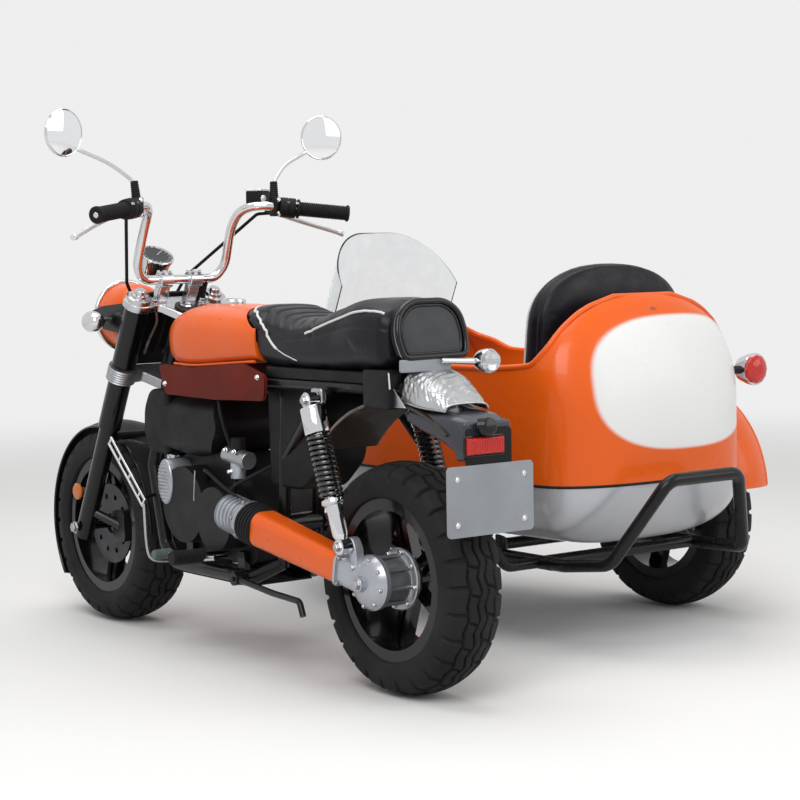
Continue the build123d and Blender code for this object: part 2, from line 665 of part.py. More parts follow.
with BuildPart() as number_plate:
    with BuildSketch(Plane(origin=(plate_x, 0, 432), x_dir=(0, -1, 0), z_dir=(-1, 0, 0))) as plate_face:
        RectangleRounded(plate_width, plate_height, 10)
        with GridLocations(plate_bolt_spacing, plate_bolt_rise, 2, 2):
            Circle(plate_bolt_radius, mode=Mode.SUBTRACT)
    extrude(plate_face.sketch, amount=-plate_thickness)
with BuildPart() as rear_signal:
    hub = Vector(-112, -118, 680)
    with BuildSketch(Plane(origin=hub, x_dir=(-1, 0, 0), z_dir=(0, 1, 0))) as bullet:
        with BuildLine():
            Polyline((-20, 0), (24, 0), (24, 24), (6, 25))
            dome_line(6, 25, -26)
        make_face()
    revolve(bullet.sketch, axis=Axis(hub, (1, 0, 0)))
    add_rod(hub + Vector(0, 8, -6), (hub.X, -85.1 - seat_gap, hub.Z - 10), 7)

# Drive side: shaft tunnel, gearbox output, boot and final drive
with BuildPart() as shaft_tunnel:
    with BuildSketch(Plane(origin=(372, tunnel_y, 320), z_dir=(-1, 0, -0.17))) as front_section:
        RectangleRounded(80, 78, 26)
    with BuildSketch(Plane(origin=(70, tunnel_y, 268), z_dir=(-1, 0, -0.17))) as rear_section:
        RectangleRounded(66, 64, 18)
    loft([front_section.sketch, rear_section.sketch])
boot_folds = 5
with BuildPart() as boot:
    add_folds(Plane(origin=(372.5, tunnel_y, 320), z_dir=(1, 0, 0.17)), 20, 40, 48, 52, boot_folds)
with BuildPart() as gearbox_output:
    with BuildSketch(Plane(origin=(424, tunnel_y, 329), z_dir=(1, 0, 0.17))) as output_start:
        Circle(38)
    extrude(output_start.sketch, amount=90)
    add(engine_case.part, mode=Mode.SUBTRACT)
with BuildPart() as final_drive:
    add_turned(rear_axle, [(22, 0), (22, 78), (30, 78), (34, 62), (60, 62), (84, 58), (110, 40), (118, 36),
                           (118, 0)])
    with BuildSketch(Plane(origin=(70 - seat_gap, tunnel_y, 268), z_dir=(-1, 0, -0.17))) as neck:
        Circle(32)
    extrude(neck.sketch, amount=66)
    add_rod(rear_axle + Vector(0, -134, 0), rear_axle + Vector(0, 30, 0), axle_radius)
    add_shock_lug(1, 22, 268)
with BuildPart() as swing_arm:
    add_tube([(pivot_x, -112, pivot_z), (200, -112, 292), (0, -112, tyre_radius)], 20, 60)
    add_rod((pivot_x, -112, pivot_z), (pivot_x, -pivot_half_spacing - tube_radius, pivot_z), 14)
    add_rod((0, -134, tyre_radius), (0, -90, tyre_radius), 26)
    add_shock_lug(-1, 10, 262)
    with BuildSketch(wheel_side(rear_axle, 0)) as axle_hole:
        Circle(axle_radius + seat_gap)
    extrude(axle_hole.sketch, amount=200, mode=Mode.SUBTRACT)

# Rear shocks
spring_turns = 9
with BuildPart() as shock_bodies:
    for side in (-1, 1):
        top = shock_top + Vector(0, side * shock_half_spacing, 0)
        foot = shock_foot + Vector(0, side * shock_half_spacing, 0)
        along = (foot - top).normalized()
        add_rod(top, foot, 9)
        add_rod(top + along * 14, top + along * 74, 27)
        add_rod(top + along * 218, foot - along * 16.5, 17)
        with BuildSketch(Plane(origin=foot + Vector(0, 14, 0), z_dir=(0, -1, 0))) as lower_eye:
            Circle(17)
        extrude(lower_eye.sketch, amount=28)
        with BuildSketch(Plane(origin=top + Vector(0, 14, 0), z_dir=(0, -1, 0))) as eye:
            Circle(17)
        extrude(eye.sketch, amount=28)
with BuildPart() as shock_springs:
    for side in (-1, 1):
        top = shock_top + Vector(0, side * shock_half_spacing, 0)
        foot = shock_foot + Vector(0, side * shock_half_spacing, 0)
        along = (foot - top).normalized()
        add_folds(Plane(origin=top + along * 74.5, z_dir=along), 10, 18, 27, 143, spring_turns)

# Pegs, pedals and the plate under the engine
with BuildPart() as foot_controls:
    for side in (-1, 1):
        add_rod((600, side * (engine_half_width + seat_gap), 236), (600, side * 205, 240), 8)
        add_rod((600, side * 130, 238), (600, side * 215, 240), 15)
        add_tube([(560, side * 124, 236), (640, side * 150, 226), (720, side * 156, 232)], 6, 20)
        add_rod((720, side * 140, 232), (720, side * 190, 232), 9)
with BuildPart() as belly_plate:
    plate_top = cradle_z - tube_radius - seat_gap
    with BuildSketch(Plane(origin=(0, 66, 0), x_dir=(1, 0, 0), z_dir=(0, -1, 0))) as belly:
        with BuildLine():
            Polyline((480, plate_top - 4), (790, plate_top - 4), (850, 230), (846, 233), (788, plate_top),
                     (480, plate_top), close=True)
        make_face()
    extrude(belly.sketch, amount=132)
    with BuildSketch(Plane.XY.offset(plate_top)) as flat_part:
        with Locations((625, 0)):
            Rectangle(290, 168)
    extrude(flat_part.sketch, amount=-4)
with BuildPart() as exhaust:
    add_tube([(878, -30, 334.4), (878, -40, 205), (852, -130, 178), (740, -172, 262), (372, -178, 296)], 16, 24)
    add_rod((372, -178, 296), (92, -182, 306), 37)
    add_rod((600, -112, 249.7), (600, -166, 276), 4.5)

# Side stand, folded up along the left of the cradle and hinged on the frame's pin
with BuildPart() as side_stand:
    eye_y = stand_pivot.Y
    add_tube([stand_pivot + Vector(-8, 0, -1), (330, eye_y + 4, 184), (222, eye_y + 8, 180),
              (206, eye_y + 10, 150)], 7, 14)
    half_eye = Vector(0, stand_eye_width / 2, 0)
    add_rod(stand_pivot - half_eye, stand_pivot + half_eye, 15)
    with BuildSketch(Plane(origin=stand_pivot, z_dir=(0, 1, 0))) as pin_hole:
        Circle(stand_pin_radius + bearing_gap)
    extrude(pin_hole.sketch, amount=40, both=True, mode=Mode.SUBTRACT)

# Sidecar tub: one lofted hull, hollowed, opened at the top and split into two halves.
# Stations along the tub: x, half width, bottom, shoulder, top
tub_stations = [
    (tub_tail_x, 285, 246, 560, 826),
    (80, 298, 240, 600, 832),
    (tub_dome_end, 300, 239, 606, 833),
    (300, tub_half_width, 236, 640, 838),
    (700, tub_half_width, 232, 640, 838),
    (960, 290, 236, 655, 836),
    (1200, 245, 252, 600, 752),
    (1380, 178, 290, 520, 628),
    (tub_nose_x, 60, 372, 450, 500),
]
# Where the tail's dome is cut for the loft, as shares of its length from its front
dome_cuts = [0.985, 0.93, 0.78, 0.5]
dome_centre_z = 450
dome_width_power = 2.9
dome_height_power = 2.3


def station_size(x, column):
    """One size of the tub at x, straight between the stations on either side."""
    for before, after in zip(tub_stations, tub_stations[1:]):
        if x <= after[0]:
            share = (x - before[0]) / (after[0] - before[0])
            return before[column] + (after[column] - before[column]) * share
    return tub_stations[-1][column]


def domed(height, share):
    """A height drawn towards the dome's centre by a share of its distance."""
    return dome_centre_z + (height - dome_centre_z) * share


def tub_section(x, half, low, shoulder, top):
    """A section across the tub: flat bottom, rounded lower corners, straight sides and an elliptic top."""
    corner = 0.36 * half
    rise = top - shoulder

    def over(angle, side=1):
        return (side * half * cos(radians(angle)), shoulder + rise * sin(radians(angle)))

    with BuildSketch(Plane(origin=(x, tub_y, 0), x_dir=(0, 1, 0), z_dir=(1, 0, 0))) as section:
        with BuildLine():
            Line((-half + corner, low), (half - corner, low))
            RadiusArc((half - corner, low), (half, low + corner), -corner)
            Line((half, low + corner), (half, shoulder))
            ThreePointArc((half, shoulder), over(25), over(50))
            ThreePointArc(over(50), (0, top), over(50, -1))
            ThreePointArc(over(50, -1), over(25, -1), (-half, shoulder))
            Line((-half, shoulder), (-half, low + corner))
            RadiusArc((-half, low + corner), (-half + corner, low), -corner)
        make_face()
    return section.sketch


def tub_hull(inset):
    """The tub's outer form, or its inner one where the inset is the wall's thickness."""
    sections = []
    for cut in dome_cuts:
        x = tub_dome_end - cut * (tub_dome_end - tub_tail_x - inset)
        wide = (1 - cut ** dome_width_power) ** (1 / dome_width_power)
        tall = (1 - cut ** dome_height_power) ** (1 / dome_height_power)
        half = (station_size(x, 1) - inset) * wide
        low = domed(station_size(x, 2) + inset, tall)
        top = domed(station_size(x, 4) - inset, tall)
        sections.append(tub_section(x, half, low, domed(station_size(x, 3), tall), top))
    for x, half, low, shoulder, top in tub_stations[2:-1]:
        sections.append(tub_section(x, half - inset, low + inset, shoulder, top - inset))
    x, half, low, shoulder, top = tub_stations[-1]
    sections.append(tub_section(x - inset, half - inset, low + inset, shoulder, top - inset))
    with BuildPart(mode=Mode.PRIVATE) as hull:
        loft(sections)
    return hull.part


outer_hull = tub_hull(0)
inner_hull = tub_hull(tub_wall)
with BuildPart() as tub:
    add(outer_hull)
    add(inner_hull, mode=Mode.SUBTRACT)
    with BuildSketch(Plane(origin=(0, tub_y + 400, 0), x_dir=(1, 0, 0), z_dir=(0, -1, 0))) as opening:
        with BuildLine():
            FilletPolyline((60, 1000), (92, 676), (180, sill_height + 4), (840, sill_height), (916, 690),
                           (956, 1000), radius=24, close=True)
        make_face()
    extrude(opening.sketch, amount=800, mode=Mode.SUBTRACT)
with BuildPart() as tub_upper:
    add(tub.part)
    split(bisect_by=Plane.XY.offset(tub_split_height), keep=Keep.TOP)
with BuildPart() as tub_lower:
    add(tub.part)
    split(bisect_by=Plane.XY.offset(tub_split_height), keep=Keep.BOTTOM)

# Sidecar chassis: side rails, cross tubes, struts to the motorcycle and the wheel's arm
chassis_z = 205
chassis_left = tub_y + 245
chassis_right = tub_y - 245
rail_start_x = 120
guard_x = -120
with BuildPart() as sidecar_frame:
    for rail_y in (chassis_left, chassis_right):
        add_rod((rail_start_x, rail_y, chassis_z), (1150, rail_y, chassis_z), tube_radius)
    for x in (160, 440, 700, 1120):
        add_rod((x, chassis_left, chassis_z), (x, chassis_right, chassis_z), tube_radius - 2)
    cradle_side = -rail_half_spacing - tube_radius - seat_gap
    add_rod((700, chassis_left, chassis_z), (700, cradle_side, cradle_z), tube_radius - 2)
    add_rod((440, chassis_left, chassis_z), (480, cradle_side, cradle_z), tube_radius - 2)
    add_tube([(160, chassis_left, chassis_z), (160, chassis_left + 104, chassis_z),
              (240, -rail_half_spacing - 24, rail_z)], tube_radius - 3, 30)
    for x in (300, 900):
        for rail_y in (chassis_left, chassis_right):
            add_rod((x, rail_y, chassis_z), (x, rail_y, chassis_z + 90), tube_radius - 2)
    add(outer_hull, mode=Mode.SUBTRACT)
with BuildPart() as sidecar_arm:
    add_tube([(700, chassis_right - tube_radius - 18.3, chassis_z), (560, -1044, 216),
              sidecar_axle + Vector(0, 94, 0)], 15, 40)
    add_rod((700, chassis_right - tube_radius - seat_gap, chassis_z), (700, -1030, chassis_z), 12)
    add_rod(sidecar_axle + Vector(0, 108, 0), sidecar_axle + Vector(0, -75, 0), axle_radius)
with BuildPart() as guard_bar:
    add_tube([(rail_start_x - seat_gap, chassis_left, chassis_z), (80, chassis_left, chassis_z),
              (-36, tub_y + 211, 216), (guard_x, tub_y + 109, 404), (guard_x, tub_y - 109, 404),
              (-36, tub_y - 211, 216), (80, chassis_right, chassis_z),
              (rail_start_x - seat_gap, chassis_right, chassis_z)], tube_radius - 1, 40)

cushion_top = 442
back_lean = 6
with BuildPart() as sidecar_cushion:
    with BuildSketch(Plane.XY.offset(230)) as cushion_plan:
        with Locations((455, tub_y)):
            RectangleRounded(570, 470, 50)
    extrude(cushion_plan.sketch, amount=cushion_top - 230)
    add(tub_hull(tub_wall + seat_gap), mode=Mode.INTERSECT)
with BuildPart() as sidecar_backrest:
    lean = Vector(cos(radians(back_lean)), 0, sin(radians(back_lean)))
    back_foot = Vector(184, tub_y, cushion_top + seat_gap)
    with BuildSketch(Plane(origin=back_foot, x_dir=(0, 1, 0), z_dir=lean)) as back_face:
        with BuildLine():
            Line((-236, 0), (236, 0))
            Line((236, 0), (236, 300))
            ThreePointArc((236, 300), (194, 402), (92, 444))
            ThreePointArc((92, 444), (0, 450), (-92, 444))
            ThreePointArc((-92, 444), (-194, 402), (-236, 300))
            Line((-236, 300), (-236, 0))
        make_face()
    extrude(back_face.sketch, amount=96)
    with BuildSketch(Plane.XY.offset(cushion_top + seat_gap)) as cushion_way:
        with Locations((200, tub_y)):
            Rectangle(400, 600)
    extrude(cushion_way.sketch, amount=-60, mode=Mode.SUBTRACT)

# Windscreen: a sheet curved round the front of the cockpit, raked back, with an arched top
screen_foot_z = 730
screen_top_z = 968
screen_half = 228
screen_ends_x = 1001
screen_front_x = 1221
screen_thickness = 4
inner_ends_x = screen_ends_x - screen_thickness
with BuildPart() as windscreen:
    with BuildSketch(Plane(origin=(0, tub_y, screen_foot_z))) as screen_plan:
        with BuildLine():
            ThreePointArc((screen_ends_x, screen_half), (screen_front_x, 0), (screen_ends_x, -screen_half))
            Line((screen_ends_x, -screen_half), (inner_ends_x, -screen_half))
            ThreePointArc((inner_ends_x, -screen_half), (screen_front_x - screen_thickness, 0),
                          (inner_ends_x, screen_half))
            Line((inner_ends_x, screen_half), (screen_ends_x, screen_half))
        make_face()
    extrude(screen_plan.sketch, amount=290, dir=(-0.42, 0, 0.907))
    with BuildSketch(Plane(origin=(800, tub_y, 0), x_dir=(0, 1, 0), z_dir=(1, 0, 0))) as screen_arch:
        with Locations((0, screen_top_z - 250)):
            RectangleRounded(2 * screen_half - 1, 500, 180)
    extrude(screen_arch.sketch, amount=600, mode=Mode.INTERSECT)
    add(outer_hull, mode=Mode.SUBTRACT)

# Sidecar mudguard and lamp
arch_centre = sidecar_axle + Vector(0, 0, 61)
arch_radius = tyre_radius + 36
arch_half_width = 80
arch_drop = 20
with BuildPart() as sidecar_mudguard:
    add_mudguard(arch_centre, arch_radius, arch_half_width, arch_drop, 5, start=176, arc=142)
    stay_x = arch_centre.X
    stay_z = arch_centre.Z + arch_radius - arch_drop
    add_rod((stay_x, tub_y - tub_half_width + 20, stay_z - 12),
            (stay_x, arch_centre.Y + arch_half_width - 8, stay_z), 8)
    add(outer_hull, mode=Mode.SUBTRACT)
with BuildPart() as sidecar_lamp:
    with BuildSketch(Plane(origin=(46, -1085, 622), x_dir=(0, 1, 0), z_dir=(-1, 0, 0))) as lamp_disc:
        Circle(39)
    extrude(lamp_disc.sketch, amount=-40)
    add_rod((60, -1085, 622), (60, -1000, 622), 10)
    add(outer_hull, mode=Mode.SUBTRACT)

pieces = {
    "frame": frame,
    "engine_case": engine_case,
    "cylinder": cylinder,
    "engine_cover": engine_cover,
    "fuel_tank": fuel_tank,
    "side_panels": side_panels,
    "seat": seat,
    "tail_pad": tail_pad,
    "rear_mudguard": rear_mudguard,
    "tail_cover": tail_cover,
    "tail_bracket": tail_bracket,
    "tail_lamp": tail_lamp,
    "number_plate": number_plate,
    "rear_signal": rear_signal,
    "shaft_tunnel": shaft_tunnel,
    "boot": boot,
    "gearbox_output": gearbox_output,
    "final_drive": final_drive,
    "swing_arm": swing_arm,
    "shock_bodies": shock_bodies,
    "shock_springs": shock_springs,
    "foot_controls": foot_controls,
    "belly_plate": belly_plate,
    "exhaust": exhaust,
    "side_stand": side_stand,
    "sidecar_frame": sidecar_frame,
    "sidecar_arm": sidecar_arm,
    "guard_bar": guard_bar,
    "tub_upper": tub_upper,
    "tub_lower": tub_lower,
    "sidecar_cushion": sidecar_cushion,
    "sidecar_backrest": sidecar_backrest,
    "windscreen": windscreen,
    "sidecar_mudguard": sidecar_mudguard,
    "sidecar_lamp": sidecar_lamp,
    "rear_tyre": rear_tyre,
    "front_tyre": front_tyre,
    "sidecar_tyre": sidecar_tyre,
    "rear_rim": rear_rim,
    "front_rim": front_rim,
    "sidecar_rim": sidecar_rim,
    "front_disc": front_disc,
    "fork": fork,
    "yokes": yokes,
    "handlebar": handlebar,
    "grips": grips,
    "controls": controls,
    "mirrors": mirrors,
    "headlamp": headlamp,
    "headlamp_lens": headlamp_lens,
    "front_signals": front_signals,
    "speedometer": speedometer,
    "front_mudguard": front_mudguard,
    "brake_caliper": brake_caliper,
    "cables": cables,
}

# The origin goes under the middle of the whole vehicle, on the ground
boxes = [piece.part.bounding_box() for piece in pieces.values()]
middle_x = (min(box.min.X for box in boxes) + max(box.max.X for box in boxes)) / 2
middle_y = (min(box.min.Y for box in boxes) + max(box.max.Y for box in boxes)) / 2
ground_z = min(box.min.Z for box in boxes)
to_origin = Vector(-middle_x, -middle_y, -ground_z)

os.makedirs("parts", exist_ok=True)
for name, piece in pieces.items():
    placed = piece.part.moved(Location(to_origin))
    placed.label = name
    export_step(placed, f"parts/{name}.step")
print("moved by", to_origin)
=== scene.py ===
# %% [markdown]
# # A motorcycle with a sidecar
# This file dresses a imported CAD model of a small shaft-drive motorcycle and its sidecar. The CAD pieces
# give every size and every joint. Here each piece gets its finish, and the pieces whose real form is
# soft, pressed or cast are made again as surfaces that are worked out with numpy.
# %% Load the frame
import json
import math

import bmesh
import bpy
import numpy as np
from mathutils import Matrix, Vector
from mathutils.bvhtree import BVHTree


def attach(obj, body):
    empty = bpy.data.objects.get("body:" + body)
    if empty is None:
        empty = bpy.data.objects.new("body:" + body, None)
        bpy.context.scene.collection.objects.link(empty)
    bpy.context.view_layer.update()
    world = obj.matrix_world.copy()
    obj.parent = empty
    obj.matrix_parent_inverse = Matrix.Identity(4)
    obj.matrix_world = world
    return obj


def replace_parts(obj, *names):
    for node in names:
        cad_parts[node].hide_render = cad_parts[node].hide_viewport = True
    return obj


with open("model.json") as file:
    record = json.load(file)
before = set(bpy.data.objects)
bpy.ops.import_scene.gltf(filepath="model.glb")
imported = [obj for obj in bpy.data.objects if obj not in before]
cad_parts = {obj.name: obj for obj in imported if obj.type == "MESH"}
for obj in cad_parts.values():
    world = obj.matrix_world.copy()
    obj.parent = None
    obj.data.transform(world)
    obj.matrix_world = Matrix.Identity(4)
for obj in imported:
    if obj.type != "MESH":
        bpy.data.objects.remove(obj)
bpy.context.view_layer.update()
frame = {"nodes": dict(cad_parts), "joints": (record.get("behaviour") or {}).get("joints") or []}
nodes = frame["nodes"]
joints = {joint["name"]: joint for joint in frame["joints"]}
print("nodes:", len(nodes), "joints:", sorted(joints))

# %% [markdown]
# ## Where things are
# Places are measured in metres from the point on the ground under the rear axle, with x forward, y to
# the rider's left and z up. That suits a motorcycle better than the middle of the whole vehicle. One
# shift, read from the rear wheel's joint, brings such a place into the model's own frame.
# %% Places and axles
rear_axle = np.array(joints["rear_wheel_roll"]["pos_m"])
front_axle = np.array(joints["front_wheel_roll"]["pos_m"])
sidecar_axle = np.array(joints["sidecar_wheel_roll"]["pos_m"])
ground_point = rear_axle * (1, 1, 0)


def place(x, y, z):
    """A place of the motorcycle, or whole arrays of them, moved into the model's frame."""
    x, y, z = np.broadcast_arrays(x, y, z)
    return np.stack([x, y, z], axis=-1) + ground_point


print("rear axle", rear_axle.round(4), "wheelbase", round(front_axle[0] - rear_axle[0], 3))

# %% [markdown]
# ## The camera comes first
# The photograph was taken from the left rear with a moderate telephoto lens, a little above the seat.
# Its place and turn were solved from the outlines of the three wheels, whose sizes are known, so the
# render and the photograph can be laid over each other.
# %% Camera
camera_place = (-3.4104, 2.5961, 0.9369)
camera_azimuth = math.radians(232.9)
camera_pitch = math.radians(4.3)
camera_roll = math.radians(-1.0)
focal_share = 2078.7 / 800


def camera_axes(azimuth, pitch, roll):
    """Right, up and forward of a camera that looks along an azimuth, pitched down and rolled."""
    ahead = Vector((-math.sin(azimuth) * math.cos(pitch), math.cos(azimuth) * math.cos(pitch),
                    -math.sin(pitch)))
    right = ahead.cross(Vector((0, 0, 1))).normalized()
    up = right.cross(ahead)
    turned_right = right * math.cos(roll) + up * math.sin(roll)
    turned_up = up * math.cos(roll) - right * math.sin(roll)
    return turned_right, turned_up, ahead


camera_data = bpy.data.cameras.new("photo_camera")
camera_data.sensor_width = 36
camera_data.lens = 36 * focal_share
camera_data.clip_end = 100
camera = bpy.data.objects.new("photo_camera", camera_data)
bpy.context.scene.collection.objects.link(camera)
right, up, ahead = camera_axes(camera_azimuth, camera_pitch, camera_roll)
turn = Matrix((right, up, -ahead)).transposed().to_4x4()
camera.matrix_world = Matrix.Translation(Vector(place(*camera_place))) @ turn
bpy.context.scene.camera = camera
print("lens", round(camera_data.lens, 1), "mm")

# %% [markdown]
# ## Floor and light
# The floor is a plain pale sheet. The camera, and rays that metal or glass send on, see it nearly white
# by Light Path, while other rays meet its real pale grey, so no extra light reaches the object. Far from
# the object it fades into the background, so that no horizon crosses the picture. Large soft lamps stand
# on three sides at a plain level.
# %% Floor, lamps and world
def new_material(name):
    """An empty node material and its tree, with an output node."""
    material = bpy.data.materials.new(name)
    material.use_nodes = True
    material.node_tree.nodes.clear()
    output = material.node_tree.nodes.new("ShaderNodeOutputMaterial")
    return material, material.node_tree, output


def seen_directly(tree):
    """1 for rays from the camera, a mirror or glass, and 0 for the rays that light the object."""
    path = tree.nodes.new("ShaderNodeLightPath")
    result = path.outputs["Is Camera Ray"]
    for kind in ("Is Glossy Ray", "Is Transmission Ray"):
        either = tree.nodes.new("ShaderNodeMath")
        either.operation = "MAXIMUM"
        tree.links.new(result, either.inputs[0])
        tree.links.new(path.outputs[kind], either.inputs[1])
        result = either.outputs[0]
    return result


floor_size = 30.0
fade_start = 2.6
fade_end = 7.0
floor_mesh = bpy.data.meshes.new("floor")
half = floor_size / 2
floor_mesh.from_pydata([(-half, -half, 0), (half, -half, 0), (half, half, 0), (-half, half, 0)], [],
                       [(0, 1, 2, 3)])
floor = bpy.data.objects.new("floor", floor_mesh)
bpy.context.scene.collection.objects.link(floor)
floor_material, tree, output = new_material("pale_floor")
shader = tree.nodes.new("ShaderNodeBsdfPrincipled")
shader.inputs["Roughness"].default_value = 0.9
shade = tree.nodes.new("ShaderNodeMixRGB")
shade.inputs["Color1"].default_value = (0.62, 0.62, 0.61, 1)
shade.inputs["Color2"].default_value = (0.93, 0.93, 0.92, 1)
tree.links.new(seen_directly(tree), shade.inputs["Fac"])
tree.links.new(shade.outputs["Color"], shader.inputs["Base Color"])
where = tree.nodes.new("ShaderNodeTexCoord")
reach = tree.nodes.new("ShaderNodeVectorMath")
reach.operation = "LENGTH"
tree.links.new(where.outputs["Object"], reach.inputs[0])
fade = tree.nodes.new("ShaderNodeMapRange")
fade.interpolation_type = "SMOOTHSTEP"
fade.inputs["From Min"].default_value = fade_start
fade.inputs["From Max"].default_value = fade_end
tree.links.new(reach.outputs["Value"], fade.inputs["Value"])
clear = tree.nodes.new("ShaderNodeBsdfTransparent")
mixed = tree.nodes.new("ShaderNodeMixShader")
tree.links.new(fade.outputs[0], mixed.inputs[0])
tree.links.new(shader.outputs[0], mixed.inputs[1])
tree.links.new(clear.outputs[0], mixed.inputs[2])
tree.links.new(mixed.outputs[0], output.inputs["Surface"])
floor.data.materials.append(floor_material)


def soft_lamp(name, spot, target, size, power):
    """A square area lamp at a spot that faces a target."""
    lamp_data = bpy.data.lights.new(name, "AREA")
    lamp_data.size = size
    lamp_data.energy = power
    lamp = bpy.data.objects.new(name, lamp_data)
    bpy.context.scene.collection.objects.link(lamp)
    lamp.location = spot
    lamp.rotation_euler = (Vector(target) - Vector(spot)).to_track_quat("-Z", "Y").to_euler()


soft_lamp("key", (-3.4, 3.6, 4.2), (0, 0.1, 0.4), 3.2, 150)
soft_lamp("fill", (-4.2, -2.6, 2.6), (0, 0, 0.5), 3.0, 50)
soft_lamp("top", (0.6, 0.4, 5.2), (0, 0, 0), 4.0, 110)

world = bpy.data.worlds.new("studio")
world.use_nodes = True
tree = world.node_tree
tree.nodes.clear()
output = tree.nodes.new("ShaderNodeOutputWorld")
back = tree.nodes.new("ShaderNodeBackground")
back.inputs["Color"].default_value = (1, 1, 1, 1)
level = tree.nodes.new("ShaderNodeMapRange")
level.inputs["To Min"].default_value = 0.4
level.inputs["To Max"].default_value = 0.86
tree.links.new(seen_directly(tree), level.inputs["Value"])
tree.links.new(level.outputs[0], back.inputs["Strength"])
tree.links.new(back.outputs[0], output.inputs["Surface"])
bpy.context.scene.world = world
bpy.context.scene.view_settings.view_transform = "Standard"

# %% [markdown]
# ## Finishes
# Every finish is one Principled shader. A broad noise shifts its colour a little, a middle one its
# roughness, as dust and handling do, and a fine one gives its grain as bump. All of them read Object
# coordinates, so they stay on the surface when a wheel or the fork turns.
# %% One function for painted, moulded and metal finishes
finishes = {}


def finish(name, color, rough, metal=0.0, coat=0.0, shift=0.08, shift_size=3.0, rough_shift=0.08, grain=0.0,
           grain_size=300.0, sheen=0.0, dust=0.0, gleam=0.5):
    """A shader whose colour, roughness and fine bump vary by three noises in Object coordinates."""
    material, tree, output = new_material(name)
    make = tree.nodes.new
    link = tree.links.new
    shader = make("ShaderNodeBsdfPrincipled")
    shader.inputs["Metallic"].default_value = metal
    shader.inputs["Coat Weight"].default_value = coat
    shader.inputs["Coat Roughness"].default_value = 0.04
    shader.inputs["Sheen Weight"].default_value = sheen
    shader.inputs["Specular IOR Level"].default_value = gleam
    link(shader.outputs[0], output.inputs["Surface"])
    where = make("ShaderNodeTexCoord")
    broad = make("ShaderNodeTexNoise")
    broad.inputs["Scale"].default_value = shift_size
    broad.inputs["Detail"].default_value = 5
    link(where.outputs["Object"], broad.inputs["Vector"])
    ramp = make("ShaderNodeValToRGB")
    ramp.color_ramp.elements[0].position = 0.3
    ramp.color_ramp.elements[1].position = 0.7
    ramp.color_ramp.elements[0].color = tuple(c * (1 - shift) for c in color) + (1,)
    ramp.color_ramp.elements[1].color = tuple(min(1, c * (1 + shift)) for c in color) + (1,)
    link(broad.outputs["Fac"], ramp.inputs["Fac"])
    base = ramp.outputs["Color"]
    middle = make("ShaderNodeTexNoise")
    middle.inputs["Scale"].default_value = 22
    middle.inputs["Detail"].default_value = 6
    link(where.outputs["Object"], middle.inputs["Vector"])
    gloss = make("ShaderNodeMapRange")
    gloss.inputs["From Min"].default_value = 0.3
    gloss.inputs["From Max"].default_value = 0.7
    gloss.inputs["To Min"].default_value = max(0.02, rough - rough_shift)
    gloss.inputs["To Max"].default_value = min(1, rough + rough_shift)
    link(middle.outputs["Fac"], gloss.inputs["Value"])
    link(gloss.outputs[0], shader.inputs["Roughness"])
    if dust:
        facing = make("ShaderNodeNewGeometry")
        upward = make("ShaderNodeSeparateXYZ")
        link(facing.outputs["Normal"], upward.inputs[0])
        amount = make("ShaderNodeMapRange")
        amount.inputs["From Min"].default_value = 0.1
        amount.inputs["From Max"].default_value = 1.6
        amount.inputs["To Max"].default_value = dust
        link(upward.outputs["Z"], amount.inputs["Value"])
        patchy = make("ShaderNodeMath")
        patchy.operation = "MULTIPLY"
        link(amount.outputs[0], patchy.inputs[0])
        link(middle.outputs["Fac"], patchy.inputs[1])
        dusty = make("ShaderNodeMixRGB")
        dusty.inputs["Color2"].default_value = (0.32, 0.29, 0.25, 1)
        link(patchy.outputs[0], dusty.inputs["Fac"])
        link(base, dusty.inputs["Color1"])
        base = dusty.outputs["Color"]
    link(base, shader.inputs["Base Color"])
    if grain:
        fine = make("ShaderNodeTexNoise")
        fine.inputs["Scale"].default_value = grain_size
        fine.inputs["Detail"].default_value = 3
        link(where.outputs["Object"], fine.inputs["Vector"])
        bump = make("ShaderNodeBump")
        bump.inputs["Strength"].default_value = 0.5
        bump.inputs["Distance"].default_value = grain
        link(fine.outputs["Fac"], bump.inputs["Height"])
        link(bump.outputs[0], shader.inputs["Normal"])
    finishes[name] = material
    return material


orange_paint = finish("orange_paint", (0.90, 0.128, 0.006), 0.34, coat=0.22, shift=0.05, shift_size=2,
                      gleam=0.3)
# painted shade: the side covers' orange, darkened for the shade under the tank
deep_orange = finish("deep_orange", (0.125, 0.009, 0.003), 0.42, shift=0.35, shift_size=7, gleam=0.12)
silver_paint = finish("silver_paint", (0.50, 0.51, 0.54), 0.36, metal=0.3, coat=0.4, shift=0.07,
                      grain=0.00005,
                      grain_size=900)
black_paint = finish("black_paint", (0.005, 0.005, 0.006), 0.3, coat=0.2, shift=0.3, dust=0.03, gleam=0.18)
gloss_black = finish("gloss_black", (0.004, 0.004, 0.005), 0.2, coat=0.35, shift=0.2, dust=0.01, gleam=0.2)
black_plastic = finish("black_plastic", (0.007, 0.007, 0.008), 0.5, shift=0.25, grain=0.0001, grain_size=700,
                       dust=0.03, gleam=0.18)
crackle_black = finish("crackle_black", (0.008, 0.008, 0.009), 0.44, shift=0.3, grain=0.0003, grain_size=350,
                       dust=0.04, gleam=0.2)
cast_alloy = finish("cast_alloy", (0.36, 0.37, 0.39), 0.36, metal=0.85, shift=0.12, shift_size=12,
                    grain=0.0002,
                    grain_size=420, dust=0.1)
polished_alloy = finish("polished_alloy", (0.56, 0.56, 0.58), 0.22, metal=1.0, shift=0.08, shift_size=10)
chrome = finish("chrome", (0.66, 0.66, 0.68), 0.08, metal=1.0, shift=0.04, rough_shift=0.03)
bright_steel = finish("bright_steel", (0.42, 0.42, 0.44), 0.3, metal=1.0, shift=0.12, shift_size=20)
white_lever = finish("white_lever", (0.8, 0.8, 0.8), 0.25, metal=0.4, coat=0.4, shift=0.03)
